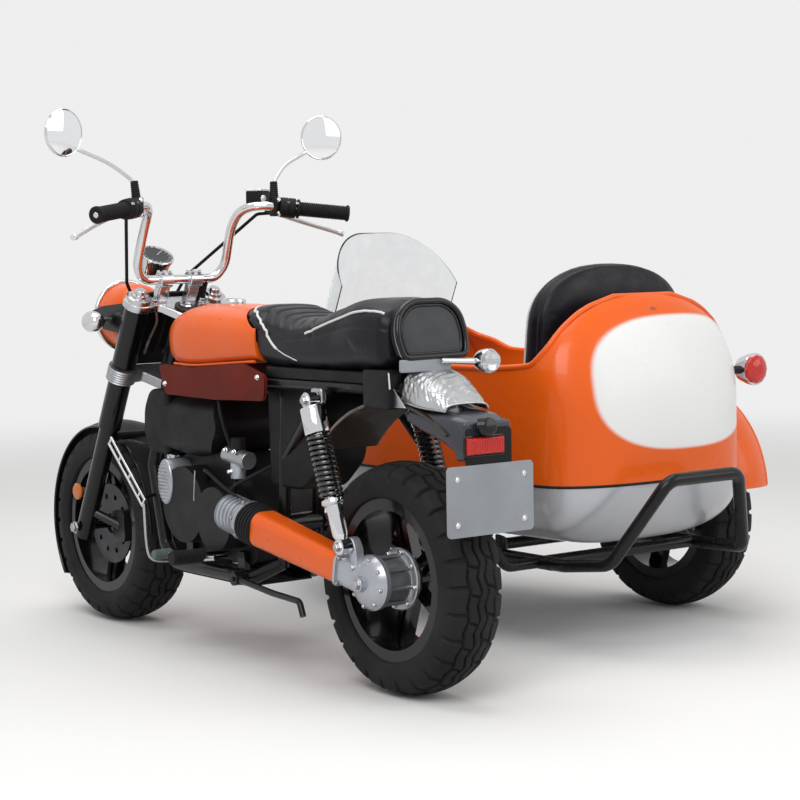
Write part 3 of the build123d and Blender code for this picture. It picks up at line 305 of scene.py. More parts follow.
soft_rubber = finish("soft_rubber", (0.010, 0.010, 0.011), 0.6, shift=0.2, grain=0.0001, grain_size=600,
                     dust=0.04,
                     gleam=0.18)
tyre_rubber = finish("tyre_rubber", (0.016, 0.0155, 0.016), 0.72, shift=0.25, shift_size=9, grain=0.0003,
                     grain_size=260, dust=0.12, gleam=0.18)
black_hide = finish("black_hide", (0.006, 0.006, 0.010), 0.38, shift=0.2, grain=0.00035, grain_size=520,
                    dust=0.01,
                    gleam=0.24)
piping_white = finish("piping_white", (0.78, 0.78, 0.77), 0.4, shift=0.04)
plate_grey = finish("plate_grey", (0.30, 0.32, 0.35), 0.42, coat=0.2, shift=0.12, shift_size=9)
blue_black = finish("blue_black", (0.020, 0.023, 0.034), 0.36, coat=0.3, shift=0.3, dust=0.05)
brown_black = finish("brown_black", (0.024, 0.016, 0.011), 0.42, coat=0.2, shift=0.35, dust=0.05)
plate_shade = finish("plate_shade", (0.028, 0.030, 0.033), 0.42, shift=0.15, gleam=0.35)
silver_film = finish("silver_film", (0.50, 0.51, 0.52), 0.3, metal=0.7, shift=0.16, shift_size=16,
                     rough_shift=0.12,
                     grain=0.0004, grain_size=160)
# light brown: a painted highlight on the rear mudguard's beads, and the colour of every second wire at the head
bead_brown = finish("bead_brown", (0.24, 0.21, 0.18), 0.3, metal=0.5, shift=0.3, shift_size=12)
spring_black = finish("spring_black", (0.008, 0.008, 0.009), 0.22, coat=0.8, shift=0.2)
drive_alloy = finish("drive_alloy", (0.40, 0.42, 0.46), 0.3, metal=0.6, coat=0.3, shift=0.1,
                     shift_size=14, grain=0.0001,
                     grain_size=500, dust=0.05)
disc_steel = finish("disc_steel", (0.045, 0.045, 0.05), 0.36, metal=0.8, shift=0.2, shift_size=20)
peg_grey = finish("peg_grey", (0.10, 0.13, 0.13), 0.5, shift=0.15, dust=0.05)
print("finishes:", len(finishes))

# %% [markdown]
# Glass and lenses let light through, so they have shaders of their own. The clear ones are thin sheets
# or domes of low roughness, and the coloured ones carry their colour in the base colour.
# %% Clear and coloured lenses
def lens_finish(name, color, clear, rough, ior=1.45):
    """A glass-like shader: clear sets how much light passes."""
    material, tree, output = new_material(name)
    shader = tree.nodes.new("ShaderNodeBsdfPrincipled")
    where = tree.nodes.new("ShaderNodeTexCoord")
    mottle = tree.nodes.new("ShaderNodeTexNoise")
    mottle.inputs["Scale"].default_value = 30
    tree.links.new(where.outputs["Object"], mottle.inputs["Vector"])
    tint = tree.nodes.new("ShaderNodeValToRGB")
    tint.color_ramp.elements[0].color = tuple(c * 0.86 for c in color) + (1,)
    tint.color_ramp.elements[1].color = tuple(color) + (1,)
    tree.links.new(mottle.outputs["Fac"], tint.inputs["Fac"])
    tree.links.new(tint.outputs["Color"], shader.inputs["Base Color"])
    shader.inputs["Transmission Weight"].default_value = clear
    shader.inputs["Roughness"].default_value = rough
    shader.inputs["IOR"].default_value = ior
    shader.inputs["Coat Weight"].default_value = 0.3
    tree.links.new(shader.outputs[0], output.inputs["Surface"])
    finishes[name] = material
    return material


red_lens = lens_finish("red_lens", (0.78, 0.02, 0.012), 0.25, 0.12)
amber_lens = lens_finish("amber_lens", (0.85, 0.2, 0.01), 0.2, 0.2)
smoke_lens = lens_finish("smoke_lens", (0.05, 0.055, 0.06), 0.2, 0.12)
clear_lens = lens_finish("clear_lens", (0.9, 0.92, 0.94), 0.75, 0.05)
screen_clear = lens_finish("screen_clear", (0.93, 0.95, 0.96), 1.0, 0.01, 1.1)
mirror_glass = finish("mirror_glass", (0.86, 0.87, 0.88), 0.03, metal=1.0, shift=0.02, rough_shift=0.01)

# %% [markdown]
# ## Surfaces from numpy
# A piece is a grid of points: its rows run along the piece and its columns around it. The grid is worked
# out as one array. Then foreach_set hands the whole array to the mesh, doubles at poles and seams are
# merged, and the faces are turned outwards. This makes smooth pressed and moulded forms that a few CAD
# primitives would not give, and keeps every shape a short formula.
# %% Mesh from a grid


def add_mesh(name, points, faces, body, material, smooth=40.0):
    """An object whose mesh holds the points and faces, faces outwards, and rides on a body."""
    mesh = bpy.data.meshes.new(name)
    points = np.asarray(points, float).reshape(-1, 3)
    faces = np.asarray(faces, int)
    count = faces.shape[1]
    mesh.vertices.add(len(points))
    mesh.vertices.foreach_set("co", points.ravel())
    mesh.loops.add(faces.size)
    mesh.loops.foreach_set("vertex_index", faces.ravel())
    mesh.polygons.add(len(faces))
    mesh.polygons.foreach_set("loop_start", np.arange(0, faces.size, count))
    mesh.update(calc_edges=True)
    mesh.validate()
    worked = bmesh.new()
    worked.from_mesh(mesh)
    bmesh.ops.remove_doubles(worked, verts=worked.verts, dist=1e-5)
    bmesh.ops.recalc_face_normals(worked, faces=worked.faces)
    worked.to_mesh(mesh)
    worked.free()
    mesh.polygons.foreach_set("use_smooth", np.ones(len(mesh.polygons), bool))
    mesh.set_sharp_from_angle(angle=math.radians(smooth))
    piece = bpy.data.objects.new(name, mesh)
    bpy.context.scene.collection.objects.link(piece)
    mesh.materials.append(material)
    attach(piece, body)
    return piece


def grid_faces(rows, columns, wrap_rows=False, wrap_columns=False):
    """The quads of a grid: each joins a point, the next in its row and the two in the next row."""
    row, column = np.meshgrid(np.arange(rows if wrap_rows else rows - 1),
                              np.arange(columns if wrap_columns else columns - 1), indexing="ij")
    next_row = (row + 1) % rows
    next_column = (column + 1) % columns
    quads = [row * columns + column, row * columns + next_column,
             next_row * columns + next_column, next_row * columns + column]
    return np.stack(quads, axis=-1).reshape(-1, 4)


def add_grid(name, points, body, material, wrap_rows=False, wrap_columns=False, ends=False,
             smooth=40.0):
    """A piece from a grid of points. With ends, the first and last rows are closed onto their middles."""
    if ends:
        first = np.repeat(points[:1].mean(axis=1, keepdims=True), points.shape[1], axis=1)
        last = np.repeat(points[-1:].mean(axis=1, keepdims=True), points.shape[1], axis=1)
        points = np.concatenate([first, points, last])
    rows, columns = points.shape[:2]
    return add_mesh(name, points, grid_faces(rows, columns, wrap_rows, wrap_columns), body, material,
                    smooth)


# %% Curves, rounded outlines and section frames
def smooth_between(at, keys, values):
    """Values carried smoothly between keys: a cubic whose slope at each key leans to its neighbours."""
    keys = np.asarray(keys, float)
    values = np.asarray(values, float)
    flat = values.reshape(len(keys), -1)
    step = np.diff(keys)[:, None]
    slope = np.diff(flat, axis=0) / step
    inner = np.where(slope[1:] * slope[:-1] > 0, 2 * slope[1:] * slope[:-1] / (slope[1:] + slope[:-1] + 1e-12), 0)
    lean = np.concatenate([slope[:1], inner, slope[-1:]])
    at = np.asarray(at, float)
    index = np.clip(np.searchsorted(keys, at.ravel(), side="right") - 1, 0, len(keys) - 2)
    wide = step[index]
    t = np.clip((at.ravel()[:, None] - keys[index][:, None]) / wide, 0, 1)
    result = ((2 * t ** 3 - 3 * t ** 2 + 1) * flat[index] + (t ** 3 - 2 * t ** 2 + t) * wide * lean[index]
              + (3 * t ** 2 - 2 * t ** 3) * flat[index + 1] + (t ** 3 - t ** 2) * wide * lean[index + 1])
    return result.reshape(at.shape + values.shape[1:])


def rounded(points, radius, steps=5, closed=False):
    """A line of points whose corners become short curves that start a radius away from each corner."""
    points = np.asarray(points, float)
    radius = np.broadcast_to(radius, len(points)).astype(float)
    before = np.roll(points, 1, axis=0) - points
    after = np.roll(points, -1, axis=0) - points
    before_long = np.linalg.norm(before, axis=1)
    after_long = np.linalg.norm(after, axis=1)
    reach = np.minimum(radius, 0.49 * np.minimum(before_long, after_long))
    start = points + before * (reach / (before_long + 1e-12))[:, None]
    end = points + after * (reach / (after_long + 1e-12))[:, None]
    t = np.linspace(0, 1, steps)[None, :, None]
    arcs = (1 - t) ** 2 * start[:, None] + 2 * t * (1 - t) * points[:, None] + t ** 2 * end[:, None]
    if not closed:
        arcs[0] = points[0]
        arcs[-1] = points[-1]
        return np.concatenate([points[:1], arcs[1:-1].reshape(-1, points.shape[1]), points[-1:]])
    return arcs.reshape(-1, points.shape[1])


def resample(line, count):
    """The same line as evenly spaced points."""
    line = np.asarray(line, float)
    far = np.concatenate([[0], np.cumsum(np.linalg.norm(np.diff(line, axis=0), axis=1))])
    want = np.linspace(0, far[-1], count)
    return np.stack([np.interp(want, far, line[:, axis]) for axis in range(line.shape[1])], axis=-1)


def path_frames(line):
    """Two directions across a path at each of its points, from the world axis that it crosses most."""
    tangent = np.gradient(line, axis=0)
    tangent /= np.linalg.norm(tangent, axis=1, keepdims=True)
    axis = np.eye(3)[np.argmin(np.abs(tangent).max(axis=0))]
    side = np.cross(tangent, axis)
    side /= np.linalg.norm(side, axis=1, keepdims=True)
    return side, np.cross(side, tangent)


def ring_along(line, radius, around):
    """Rings of a closed pipe: circles of the given radius carried round a closed line."""
    tangent = np.roll(line, -1, axis=0) - np.roll(line, 1, axis=0)
    tangent /= np.linalg.norm(tangent, axis=1, keepdims=True)
    side = np.cross(tangent, line - line.mean(axis=0))
    side /= np.linalg.norm(side, axis=1, keepdims=True)
    rise = np.cross(side, tangent)
    turn = np.linspace(0, 2 * np.pi, around, endpoint=False)
    ring = side[:, None] * np.cos(turn)[None, :, None] + rise[:, None] * np.sin(turn)[None, :, None]
    return line[:, None] + ring * radius


def add_pipe(name, line, radius, body, material, around=16, flat=1.0, ends=True, smooth=40.0):
    """A round or flattened bar: circles of the given radius carried along a path."""
    line = np.asarray(line, float)
    radius = np.broadcast_to(radius, len(line))
    side, rise = path_frames(line)
    turn = np.linspace(0, 2 * np.pi, around, endpoint=False)
    ring = (side[:, None] * np.cos(turn)[None, :, None] + flat * rise[:, None] * np.sin(turn)[None, :, None])
    points = line[:, None] + ring * radius[:, None, None]
    return add_grid(name, points, body, material, wrap_columns=True, ends=ends, smooth=smooth)


def turned_points(profile, centre, axis, around=48):
    """A profile of (along, radius) pairs turned about an axis through a centre: rows along, columns around."""
    profile = np.asarray(profile, float)
    axis = np.asarray(axis, float) / np.linalg.norm(axis)
    helper = np.array([0, 0, 1.0]) if abs(axis[2]) < 0.9 else np.array([1.0, 0, 0])
    side = np.cross(axis, helper)
    side /= np.linalg.norm(side)
    rise = np.cross(axis, side)
    turn = np.linspace(0, 2 * np.pi, around, endpoint=False)
    ring = side * np.cos(turn)[:, None] + rise * np.sin(turn)[:, None]
    return np.asarray(centre) + profile[:, None, :1] * axis + profile[:, None, 1:] * ring[None]


def add_turned(name, profile, centre, axis, body, material, around=48, smooth=35.0):
    """A turned piece from its profile, which starts and ends on the axis or is closed by its ends."""
    points = turned_points(profile, centre, axis, around)
    return add_grid(name, points, body, material, wrap_columns=True, ends=True, smooth=smooth)


def add_bolts(name, centres, axis, radius, height, body, material):
    """Hexagon bolt heads on washers, all in one mesh: one small turned grid repeated at each centre."""
    centres = np.asarray(centres, float).reshape(-1, 3)
    profile = np.array([[0, 1.35], [0.2, 1.35], [0.2, 1.0], [0.85, 1.0], [1.0, 0.86], [1.0, 0.0]])
    profile = profile * (height, radius)
    profile = np.concatenate([[[0, 0]], profile])
    head = turned_points(profile, (0, 0, 0), axis, 6)
    rows, columns = head.shape[:2]
    points = centres[:, None, None] + head[None]
    faces = grid_faces(rows, columns, wrap_columns=True)
    shifts = (np.arange(len(centres)) * rows * columns)[:, None, None]
    return add_mesh(name, points, (faces[None] + shifts).reshape(-1, 4), body, material, smooth=20)


def add_plate(name, outline, spot, across, rise, thick, edge, body, material, smooth=30.0):
    """A flat plate: an outline in two directions from a spot, raised along their cross product, edges rounded."""
    outline = np.asarray(outline, float)
    across, rise = np.asarray(across, float), np.asarray(rise, float)
    along = np.roll(outline, -1, axis=0) - np.roll(outline, 1, axis=0)
    along /= np.linalg.norm(along, axis=1, keepdims=True) + 1e-12
    after = np.roll(outline, -1, axis=0)
    sense = np.sign((outline[:, 0] * after[:, 1] - outline[:, 1] * after[:, 0]).sum())
    inward = np.stack([-along[:, 1], along[:, 0]], axis=-1) * sense
    turn = np.linspace(0, np.pi / 2, 5)
    inset = edge * (1 - np.sin(turn))
    level = edge * (1 - np.cos(turn))
    inset = np.concatenate([inset, inset[::-1]])
    level = np.concatenate([level, thick - level[::-1]])
    flat = outline[None] + inward[None] * inset[:, None, None]
    points = (np.asarray(spot) + flat[..., :1] * across + flat[..., 1:] * rise
              + level[:, None, None] * np.cross(across, rise))
    return add_grid(name, points, body, material, wrap_columns=True, ends=True, smooth=smooth)


def box_outline(wide, high, radius, count=120):
    """A rounded rectangle about the origin, evenly divided."""
    corners = np.array([(-1, -1), (1, -1), (1, 1), (-1, 1)]) * (wide / 2, high / 2)
    line = rounded(corners, radius, 8, closed=True)
    return resample(np.concatenate([line, line[:1]]), count + 1)[:-1]


def closed_outline(points, radius, count=120):
    """A closed line through corners, each of them rounded, evenly divided."""
    line = rounded(points, radius, 8, closed=True)
    return resample(np.concatenate([line, line[:1]]), count + 1)[:-1]


print("helpers ready")

# %% [markdown]
# ## Finishes of the CAD pieces
# Frame tubes, castings, rims and the other pieces whose CAD form is right keep it, and take their finish
# here by the name of the node.
# %% Finish of each CAD node
node_finish = {
    orange_paint: ["fuel_tank", "shaft_tunnel", "tub_upper", "sidecar_mudguard", "headlamp"],
    # the side panels take the darkened orange as painted shade
    deep_orange: ["side_panels"],
    silver_paint: ["tub_lower", "tail_cover"],
    black_paint: ["frame", "sidecar_frame", "sidecar_arm", "guard_bar", "swing_arm", "side_stand"],
    gloss_black: ["tail_pad", "rear_rim", "front_rim", "sidecar_rim", "fork"],
    black_plastic: ["engine_cover", "front_mudguard", "controls", "belly_plate"],
    brown_black: ["rear_mudguard"],
    crackle_black: ["engine_case", "exhaust"],
    polished_alloy: ["foot_controls"],
    blue_black: ["tail_bracket"],
    spring_black: ["shock_springs"],
    cast_alloy: ["cylinder", "gearbox_output", "final_drive", "yokes"],
    chrome: ["handlebar", "front_signals", "rear_signal", "shock_bodies", "mirrors", "speedometer"],
    disc_steel: ["front_disc", "brake_caliper"],
    black_hide: ["seat", "sidecar_cushion", "sidecar_backrest"],
    soft_rubber: ["boot", "grips", "cables"],
    tyre_rubber: ["rear_tyre", "front_tyre", "sidecar_tyre"],
    red_lens: ["tail_lamp", "sidecar_lamp"],
    clear_lens: ["headlamp_lens"],
    screen_clear: ["windscreen"],
    plate_grey: ["number_plate"],
}
for material, names in node_finish.items():
    for name in names:
        node = nodes[name]
        node.data.materials.clear()
        node.data.materials.append(material)
print("CAD nodes finished:", sum(len(names) for names in node_finish.values()))

# %% [markdown]
# ## The sidecar's tub
# The real tub is two glass-fibre mouldings, an orange upper one and a silver tray, joined at a level
# seam. Its tail is a blunt egg. A loft of hand-drawn sections could make it, but one formula is smoother:
# the widths and heights run along x through a short table, a dome factor draws them together at the tail,
# and each section is a superellipse. The rim is not cut out afterwards. Each half section simply ends
# where the rim line crosses it, so the edge of the cockpit is clean.
# %% The tub's form
tub_y = -0.745
seam_z = 0.388
tub_wall = 0.008
tail_x = -0.022
dome_end_x = 0.125
nose_dome_x = 1.40
nose_x = 1.482
tail_z = 0.450
# Along the tub: x, half width, bottom, shoulder, top
tub_table = np.array([
    (-0.022, 0.285, 0.246, 0.560, 0.826),
    (0.080, 0.298, 0.240, 0.600, 0.832),
    (0.300, 0.305, 0.236, 0.640, 0.838),
    (0.700, 0.305, 0.232, 0.640, 0.830),
    (0.960, 0.290, 0.236, 0.600, 0.768),
    (1.200, 0.245, 0.252, 0.560, 0.708),
    (1.380, 0.178, 0.290, 0.505, 0.610),
    (1.482, 0.110, 0.340, 0.470, 0.545),
])
# The rim's height along the tub: the hood behind the seat, the sill, and the cowl before the passenger
rim_table = np.array([
    (-0.022, 0.95), (0.040, 0.93), (0.072, 0.82), (0.094, 0.70), (0.135, 0.658), (0.300, 0.648),
    (0.830, 0.645), (0.890, 0.648), (0.942, 0.672), (0.984, 0.688), (1.006, 0.715), (1.018, 0.95),
    (1.482, 0.95),
])


def dome(x, power):
    """0 at the tips of the tail and the nose and 1 between their domes, along superellipses."""
    tail = np.clip((dome_end_x - x) / (dome_end_x - tail_x), 0, 1)
    nose = np.clip((x - nose_dome_x) / (nose_x - nose_dome_x), 0, 1)
    return (1 - tail ** power) ** (1 / power) * (1 - nose ** power) ** (1 / power)


def tub_sizes(x):
    """Half width, bottom, shoulder and top of the tub at x, drawn in at the tail."""
    half, low, shoulder, top = smooth_between(x, tub_table[:, 0], tub_table[:, 1:]).T
    wide = dome(x, 2.9)
    tall = dome(x, 2.3)
    return half * wide, tail_z + (low - tail_z) * tall, tail_z + (shoulder - tail_z) * tall, tail_z + (top - tail_z) * tall


def upper_section(x, s, inset=0.0):
    """Half a section above the seam: s runs from 0 at the seam to 1 at the middle of the top."""
    half, low, shoulder, top = (value[:, None] for value in tub_sizes(x))
    half = np.maximum(half - inset, 0)
    top = np.maximum(top - inset, seam_z + 0.001)
    shoulder = np.clip(shoulder, seam_z, top)
    straight = 0.3
    rise = np.clip(s / straight, 0, 1)
    turn = np.clip((s - straight) / (1 - straight), 0, 1) * np.pi / 2
    y = half * np.cos(turn) ** 0.92
    z = seam_z + (shoulder - seam_z) * rise + (top - shoulder) * np.sin(turn) ** 0.92
    return y, z


def lower_section(x, s, inset=0.0):
    """Half a section below the seam: s runs from 0 at the seam to 1 at the middle of the bottom."""
    half, low, shoulder, top = (value[:, None] for value in tub_sizes(x))
    half = np.maximum(half - inset, 0)
    low = np.minimum(low + inset, seam_z - 0.001)
    turn = s * np.pi / 2
    y = half * np.cos(turn) ** 0.62
    z = seam_z - (seam_z - low) * np.sin(turn) ** 0.62
    return y, z


# More stations where the rim climbs, so that its corners come out round
stations = np.unique(np.concatenate([
    tail_x + (dome_end_x - tail_x) * (1 - np.cos(np.linspace(0, np.pi / 2, 26))),
    np.linspace(0.031, 0.141, 34), np.linspace(dome_end_x, nose_dome_x, 66), np.linspace(0.931, 1.025, 34),
    nose_dome_x + (nose_x - nose_dome_x) * np.sin(np.linspace(0, np.pi / 2, 20))]).round(5))
fine_s = np.linspace(0, 1, 200)[None]
full_y, full_z = upper_section(stations, fine_s)
rim_z = smooth_between(stations, rim_table[:, 0], rim_table[:, 1])
end_s = np.array([1.0 if rim > z[-1] else np.interp(rim, z, fine_s[0]) for rim, z in zip(rim_z, full_z)])
print("tub stations:", len(stations), "open from x", stations[end_s < 1].min().round(3))


# %% The tub's skins
def tub_half(side, inset, section, end):
    """One side of a skin: each station's half section, from the seam to its own end. The inset counts
    along the tub too where the domes close it."""
    s = np.linspace(0, 1, 44)[None] * end[:, None]
    y, z = section(stations, s, inset)
    x = stations + inset * (1 - dome(stations, 2.9)) * np.sign(dome_end_x - stations + 1e-9)
    return place(x[:, None], tub_y + side * y, z)


def tub_skin(section, end):
    """Outer and inner skins of both sides and the strips that close the rim between them, as one mesh."""
    grids = []
    for side in (1, -1):
        outer = tub_half(side, 0.0, section, end)
        inner = tub_half(side, tub_wall, section, end)
        grids += [outer, inner, np.stack([outer[:, -1], inner[:, -1]], axis=1),
                  np.stack([outer[:, 0], inner[:, 0]], axis=1)]
    points = []
    faces = []
    total = 0
    for grid in grids:
        points.append(grid.reshape(-1, 3))
        faces.append(grid_faces(*grid.shape[:2]) + total)
        total += grid.shape[0] * grid.shape[1]
    return np.concatenate(points), np.concatenate(faces)


tub_paint = orange_paint.copy()
tub_paint.name = "tub_paint"
points, faces = tub_skin(upper_section, end_s)
tub_upper = add_mesh("tub_upper_skin", points, faces, "chassis", tub_paint, smooth=50)
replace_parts(tub_upper, "tub_upper")
points, faces = tub_skin(lower_section, np.ones(len(stations)))
tub_lower = add_mesh("tub_lower_skin", points, faces, "chassis", silver_paint, smooth=50)
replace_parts(tub_lower, "tub_lower")

rim_line = place(stations, tub_y + upper_section(stations, end_s[:, None])[0][:, 0],
                 upper_section(stations, end_s[:, None])[1][:, 0])
open_part = end_s < 0.999
left_edge = rim_line[open_part]
right_edge = left_edge * (1, -1, 1) + (0, 2 * (tub_y + ground_point[1]), 0)
around_rim = np.concatenate([left_edge, right_edge[::-1]])
around_rim = resample(np.concatenate([around_rim, around_rim[:1]]), 240)[:-1]
print("rim length", np.linalg.norm(np.diff(around_rim, axis=0), axis=1).sum().round(2), "m")

# %% [markdown]
# The tub's edge is not a bare sheet. A real moulding ends in a rolled lip, and a dark strip of rubber
# fills the joint between the two mouldings. Both are pipes carried along lines that are already known:
# the rim line from the end of each half section, and the outline at the seam. Reading the lines from the
# skin keeps the lip on the edge whatever the table says.
# %% The tub's lip and seam
add_grid("tub_lip", ring_along(around_rim, 0.0065, 10), "chassis", tub_paint, wrap_rows=True,
         wrap_columns=True)
seam_y = upper_section(stations, np.zeros((len(stations), 1)))[0][:, 0]
seam_left = place(stations, tub_y + seam_y, seam_z)
seam_right = place(stations, tub_y - seam_y, seam_z)
seam_loop = resample(np.concatenate([seam_left, seam_right[::-1]]), 260)[:-1]
add_grid("tub_seam", ring_along(seam_loop, 0.0032, 8), "chassis", soft_rubber, wrap_rows=True,
         wrap_columns=True)
print("lip and seam done")

# %% [markdown]
# The tail carries a large pale panel with a soft edge, kept plain. It is paint and no separate piece, so
# it belongs to the material: an oval in Object coordinates, seen from behind, sets where the white lies.
# A power of 2.6 makes the oval fuller than an ellipse, as the panel is.
# %% The pale panel on the tail
panel_centre = place(0.0, -0.800, 0.612)
panel_half = (0.268, 0.152)
panel_power = 2.6


def paint_panel(material):
    """Mixes white into a paint's base colour inside the oval on the tail."""
    tree = material.node_tree
    make = tree.nodes.new
    link = tree.links.new
    shader = next(node for node in tree.nodes if node.type == "BSDF_PRINCIPLED")
    where = make("ShaderNodeTexCoord")
    split = make("ShaderNodeSeparateXYZ")
    link(where.outputs["Object"], split.inputs[0])
    shares = []
    for axis, middle, half in (("Y", panel_centre[1], panel_half[0]), ("Z", panel_centre[2], panel_half[1])):
        moved = make("ShaderNodeMath")
        moved.operation = "SUBTRACT"
        moved.inputs[1].default_value = middle
        link(split.outputs[axis], moved.inputs[0])
        size = make("ShaderNodeMath")
        size.operation = "ABSOLUTE"
        link(moved.outputs[0], size.inputs[0])
        scaled = make("ShaderNodeMath")
        scaled.operation = "DIVIDE"
        scaled.inputs[1].default_value = half
        link(size.outputs[0], scaled.inputs[0])
        raised = make("ShaderNodeMath")
        raised.operation = "POWER"
        raised.inputs[1].default_value = panel_power
        link(scaled.outputs[0], raised.inputs[0])
        shares.append(raised)
    total = make("ShaderNodeMath")
    total.operation = "ADD"
    link(shares[0].outputs[0], total.inputs[0])
    link(shares[1].outputs[0], total.inputs[1])
    inside = make("ShaderNodeMapRange")
    inside.interpolation_type = "SMOOTHSTEP"
    inside.inputs["From Min"].default_value = 1.08
    inside.inputs["From Max"].default_value = 0.92
    link(total.outputs[0], inside.inputs["Value"])
    behind = make("ShaderNodeMapRange")
    behind.interpolation_type = "SMOOTHSTEP"
    behind.inputs["From Min"].default_value = float(ground_point[0] + 0.20)
    behind.inputs["From Max"].default_value = float(ground_point[0] + 0.17)
    link(split.outputs["X"], behind.inputs["Value"])
    both = make("ShaderNodeMath")
    both.operation = "MULTIPLY"
    link(inside.outputs[0], both.inputs[0])
    link(behind.outputs[0], both.inputs[1])
    white = make("ShaderNodeMixRGB")
    white.inputs["Color2"].default_value = (0.92, 0.92, 0.91, 1)
    link(both.outputs[0], white.inputs["Fac"])
    old = shader.inputs["Base Color"].links[0].from_socket
    link(old, white.inputs["Color1"])
    link(white.outputs["Color"], shader.inputs["Base Color"])


paint_panel(tub_paint)
print("panel half sizes", panel_half)

# %% [markdown]
# ## Tyres
# The three tyres share one tread: a zigzag rib in the middle, a zigzag groove on each side and slanted
# cross grooves that run out over the shoulders. Modelling the blocks one by one would take thousands of
# pieces. Here the tread is a height field instead. Every point of the tyre's grid has a place around and
# across, a few triangle waves say how near it is to a groove, and it sinks along its normal by the
# groove's depth.
# %% The tyre's section and tread
tyre_radius = float(rear_axle[2])
tread_half = 0.058
tread_depth = 0.0065
pitches = 26
# Half section from the crown's edge to the bead: across, radius
tyre_side = np.array([(0.0580, 0.2290), (0.0632, 0.2225), (0.0658, 0.2120), (0.0670, 0.2000),
                      (0.0664, 0.1880),
                      (0.0640, 0.1780), (0.0600, 0.1725), (0.0520, 0.1700)])


def tyre_section(columns, side_columns):
    """Half section points from one bead over the crown to the other, with a share across for the tread."""
    crown = np.linspace(-1, 1, columns)
    crown_points = np.stack([tread_half * crown, tyre_radius - 0.015 * crown ** 2], axis=-1)
    side = resample(smooth_between(np.linspace(0, 7, 60), np.arange(8), tyre_side), side_columns + 1)[1:]
    far = 1 + np.arange(1, side_columns + 1) / side_columns
    left = side * (-1, 1)
    points = np.concatenate([left[::-1], crown_points, side])
    share = np.concatenate([-far[::-1], crown, far])
    return points, share


def wave(turns):
    """A triangle wave from -1 to 1 over each turn."""
    return 4 * np.abs(turns - np.floor(turns + 0.5)) - 1


def groove(distance, half_width, edge=0.35):
    """1 in a groove's floor and 0 on the block, with a short sloped wall between."""
    return np.clip((half_width * (1 + edge) - np.abs(distance)) / (half_width * edge * 2), 0, 1)


def tread_field(turns, share):
    """How deep the tread is cut, from 0 to 1, at a place around (in pitches) and across (in half widths)."""
    zig = 0.085 * wave(turns)
    middle = groove(np.abs(share) - 0.16 - zig * np.sign(share), 0.035)
    outer = groove(np.abs(share) - 0.58 - 0.6 * zig * np.sign(share), 0.040)
    lean = turns + 0.30 * share * (np.abs(share) < 0.58) + 0.16 * np.sign(share) * (np.abs(share) >= 0.58)
    inner_cross = groove((lean + 0.25 * np.sign(share)) % 1 - 0.5, 0.055) * (np.abs(share) > 0.18) * (
        np.abs(share) < 0.58)
    shoulder_cross = groove((lean + 0.5) % 1 - 0.5, 0.085) * (np.abs(share) >= 0.60)
    reach = np.clip((1.34 - np.abs(share)) / 0.12, 0, 1)
    return np.maximum.reduce([middle, outer, inner_cross, shoulder_cross]) * reach


# %% Make the three tyres
def make_tyre(name, axle, body, turn_sense):
    """One tyre about its axle. The sense turns the tread's slant, as tyres are fitted by direction."""
    section, share = tyre_section(63, 13)
    around = 624
    along = np.gradient(section, axis=0)
    normal = np.stack([-along[:, 1], along[:, 0]], axis=-1)
    normal /= np.linalg.norm(normal, axis=1, keepdims=True)
    turns = np.arange(around) / around * pitches * turn_sense
    depth = tread_depth * tread_field(turns[:, None], share[None])
    rings = 0.0012 * np.exp(-((np.abs(share) - 1.52) / 0.035) ** 2) + 0.0010 * np.exp(-((np.abs(share) - 1.86) / 0.03) ** 2)
    outline = section[None] - normal[None] * (depth - rings[None])[..., None]
    angle = np.arange(around)[:, None] / around * 2 * np.pi
    points = np.stack([outline[..., 1] * np.cos(angle), outline[..., 0], outline[..., 1] * np.sin(angle)],
                      axis=-1)
    tyre = add_grid(name + "_tread", points + axle, body, tyre_rubber, wrap_rows=True,
                    smooth=34)
    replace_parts(tyre, name)
    return tyre


for name, axle, body, turn_sense in (("rear_tyre", rear_axle, "rear_wheel", 1),
                                     ("front_tyre", front_axle, "front_wheel", 1),
                                     ("sidecar_tyre", sidecar_axle, "sidecar_wheel", -1)):
    tyre = make_tyre(name, axle, body, turn_sense)
    print(name, len(tyre.data.polygons), "faces")

# %% [markdown]
# ## Padded pieces
# A seat's cover is cloth drawn over foam. Its sides bulge between seams and its edges are never quite
# straight, and a formula alone looks like a moulded brick. So each pad starts as a formula, a little
# smaller than the real one, and a cloth simulation blows it up: the mesh is made even by a voxel remesh,
# the Cloth modifier presses from inside for 20 frames with no gravity, and no point may move further
# than a cap. Seams and channels are pressed in afterwards, because the remesh would erase them.
# %% Swelling a pad, and pressing seams into it
def new_state(piece, source):
    """The mesh of a source object as its modifiers leave it, given to a piece."""
    evaluated = source.evaluated_get(bpy.context.evaluated_depsgraph_get())
    mesh = bpy.data.meshes.new_from_object(evaluated)
    old = piece.data
    piece.data = mesh
    bpy.data.meshes.remove(old)


def mesh_points(mesh):
    """A mesh's points as an array."""
    points = np.empty(len(mesh.vertices) * 3)
    mesh.vertices.foreach_get("co", points)
    return points.reshape(-1, 3)


def mesh_normals(mesh):
    """A mesh's point normals as an array."""
    normals = np.empty(len(mesh.vertices) * 3)
    mesh.vertex_normals.foreach_get("vector", normals)
    return normals.reshape(-1, 3)


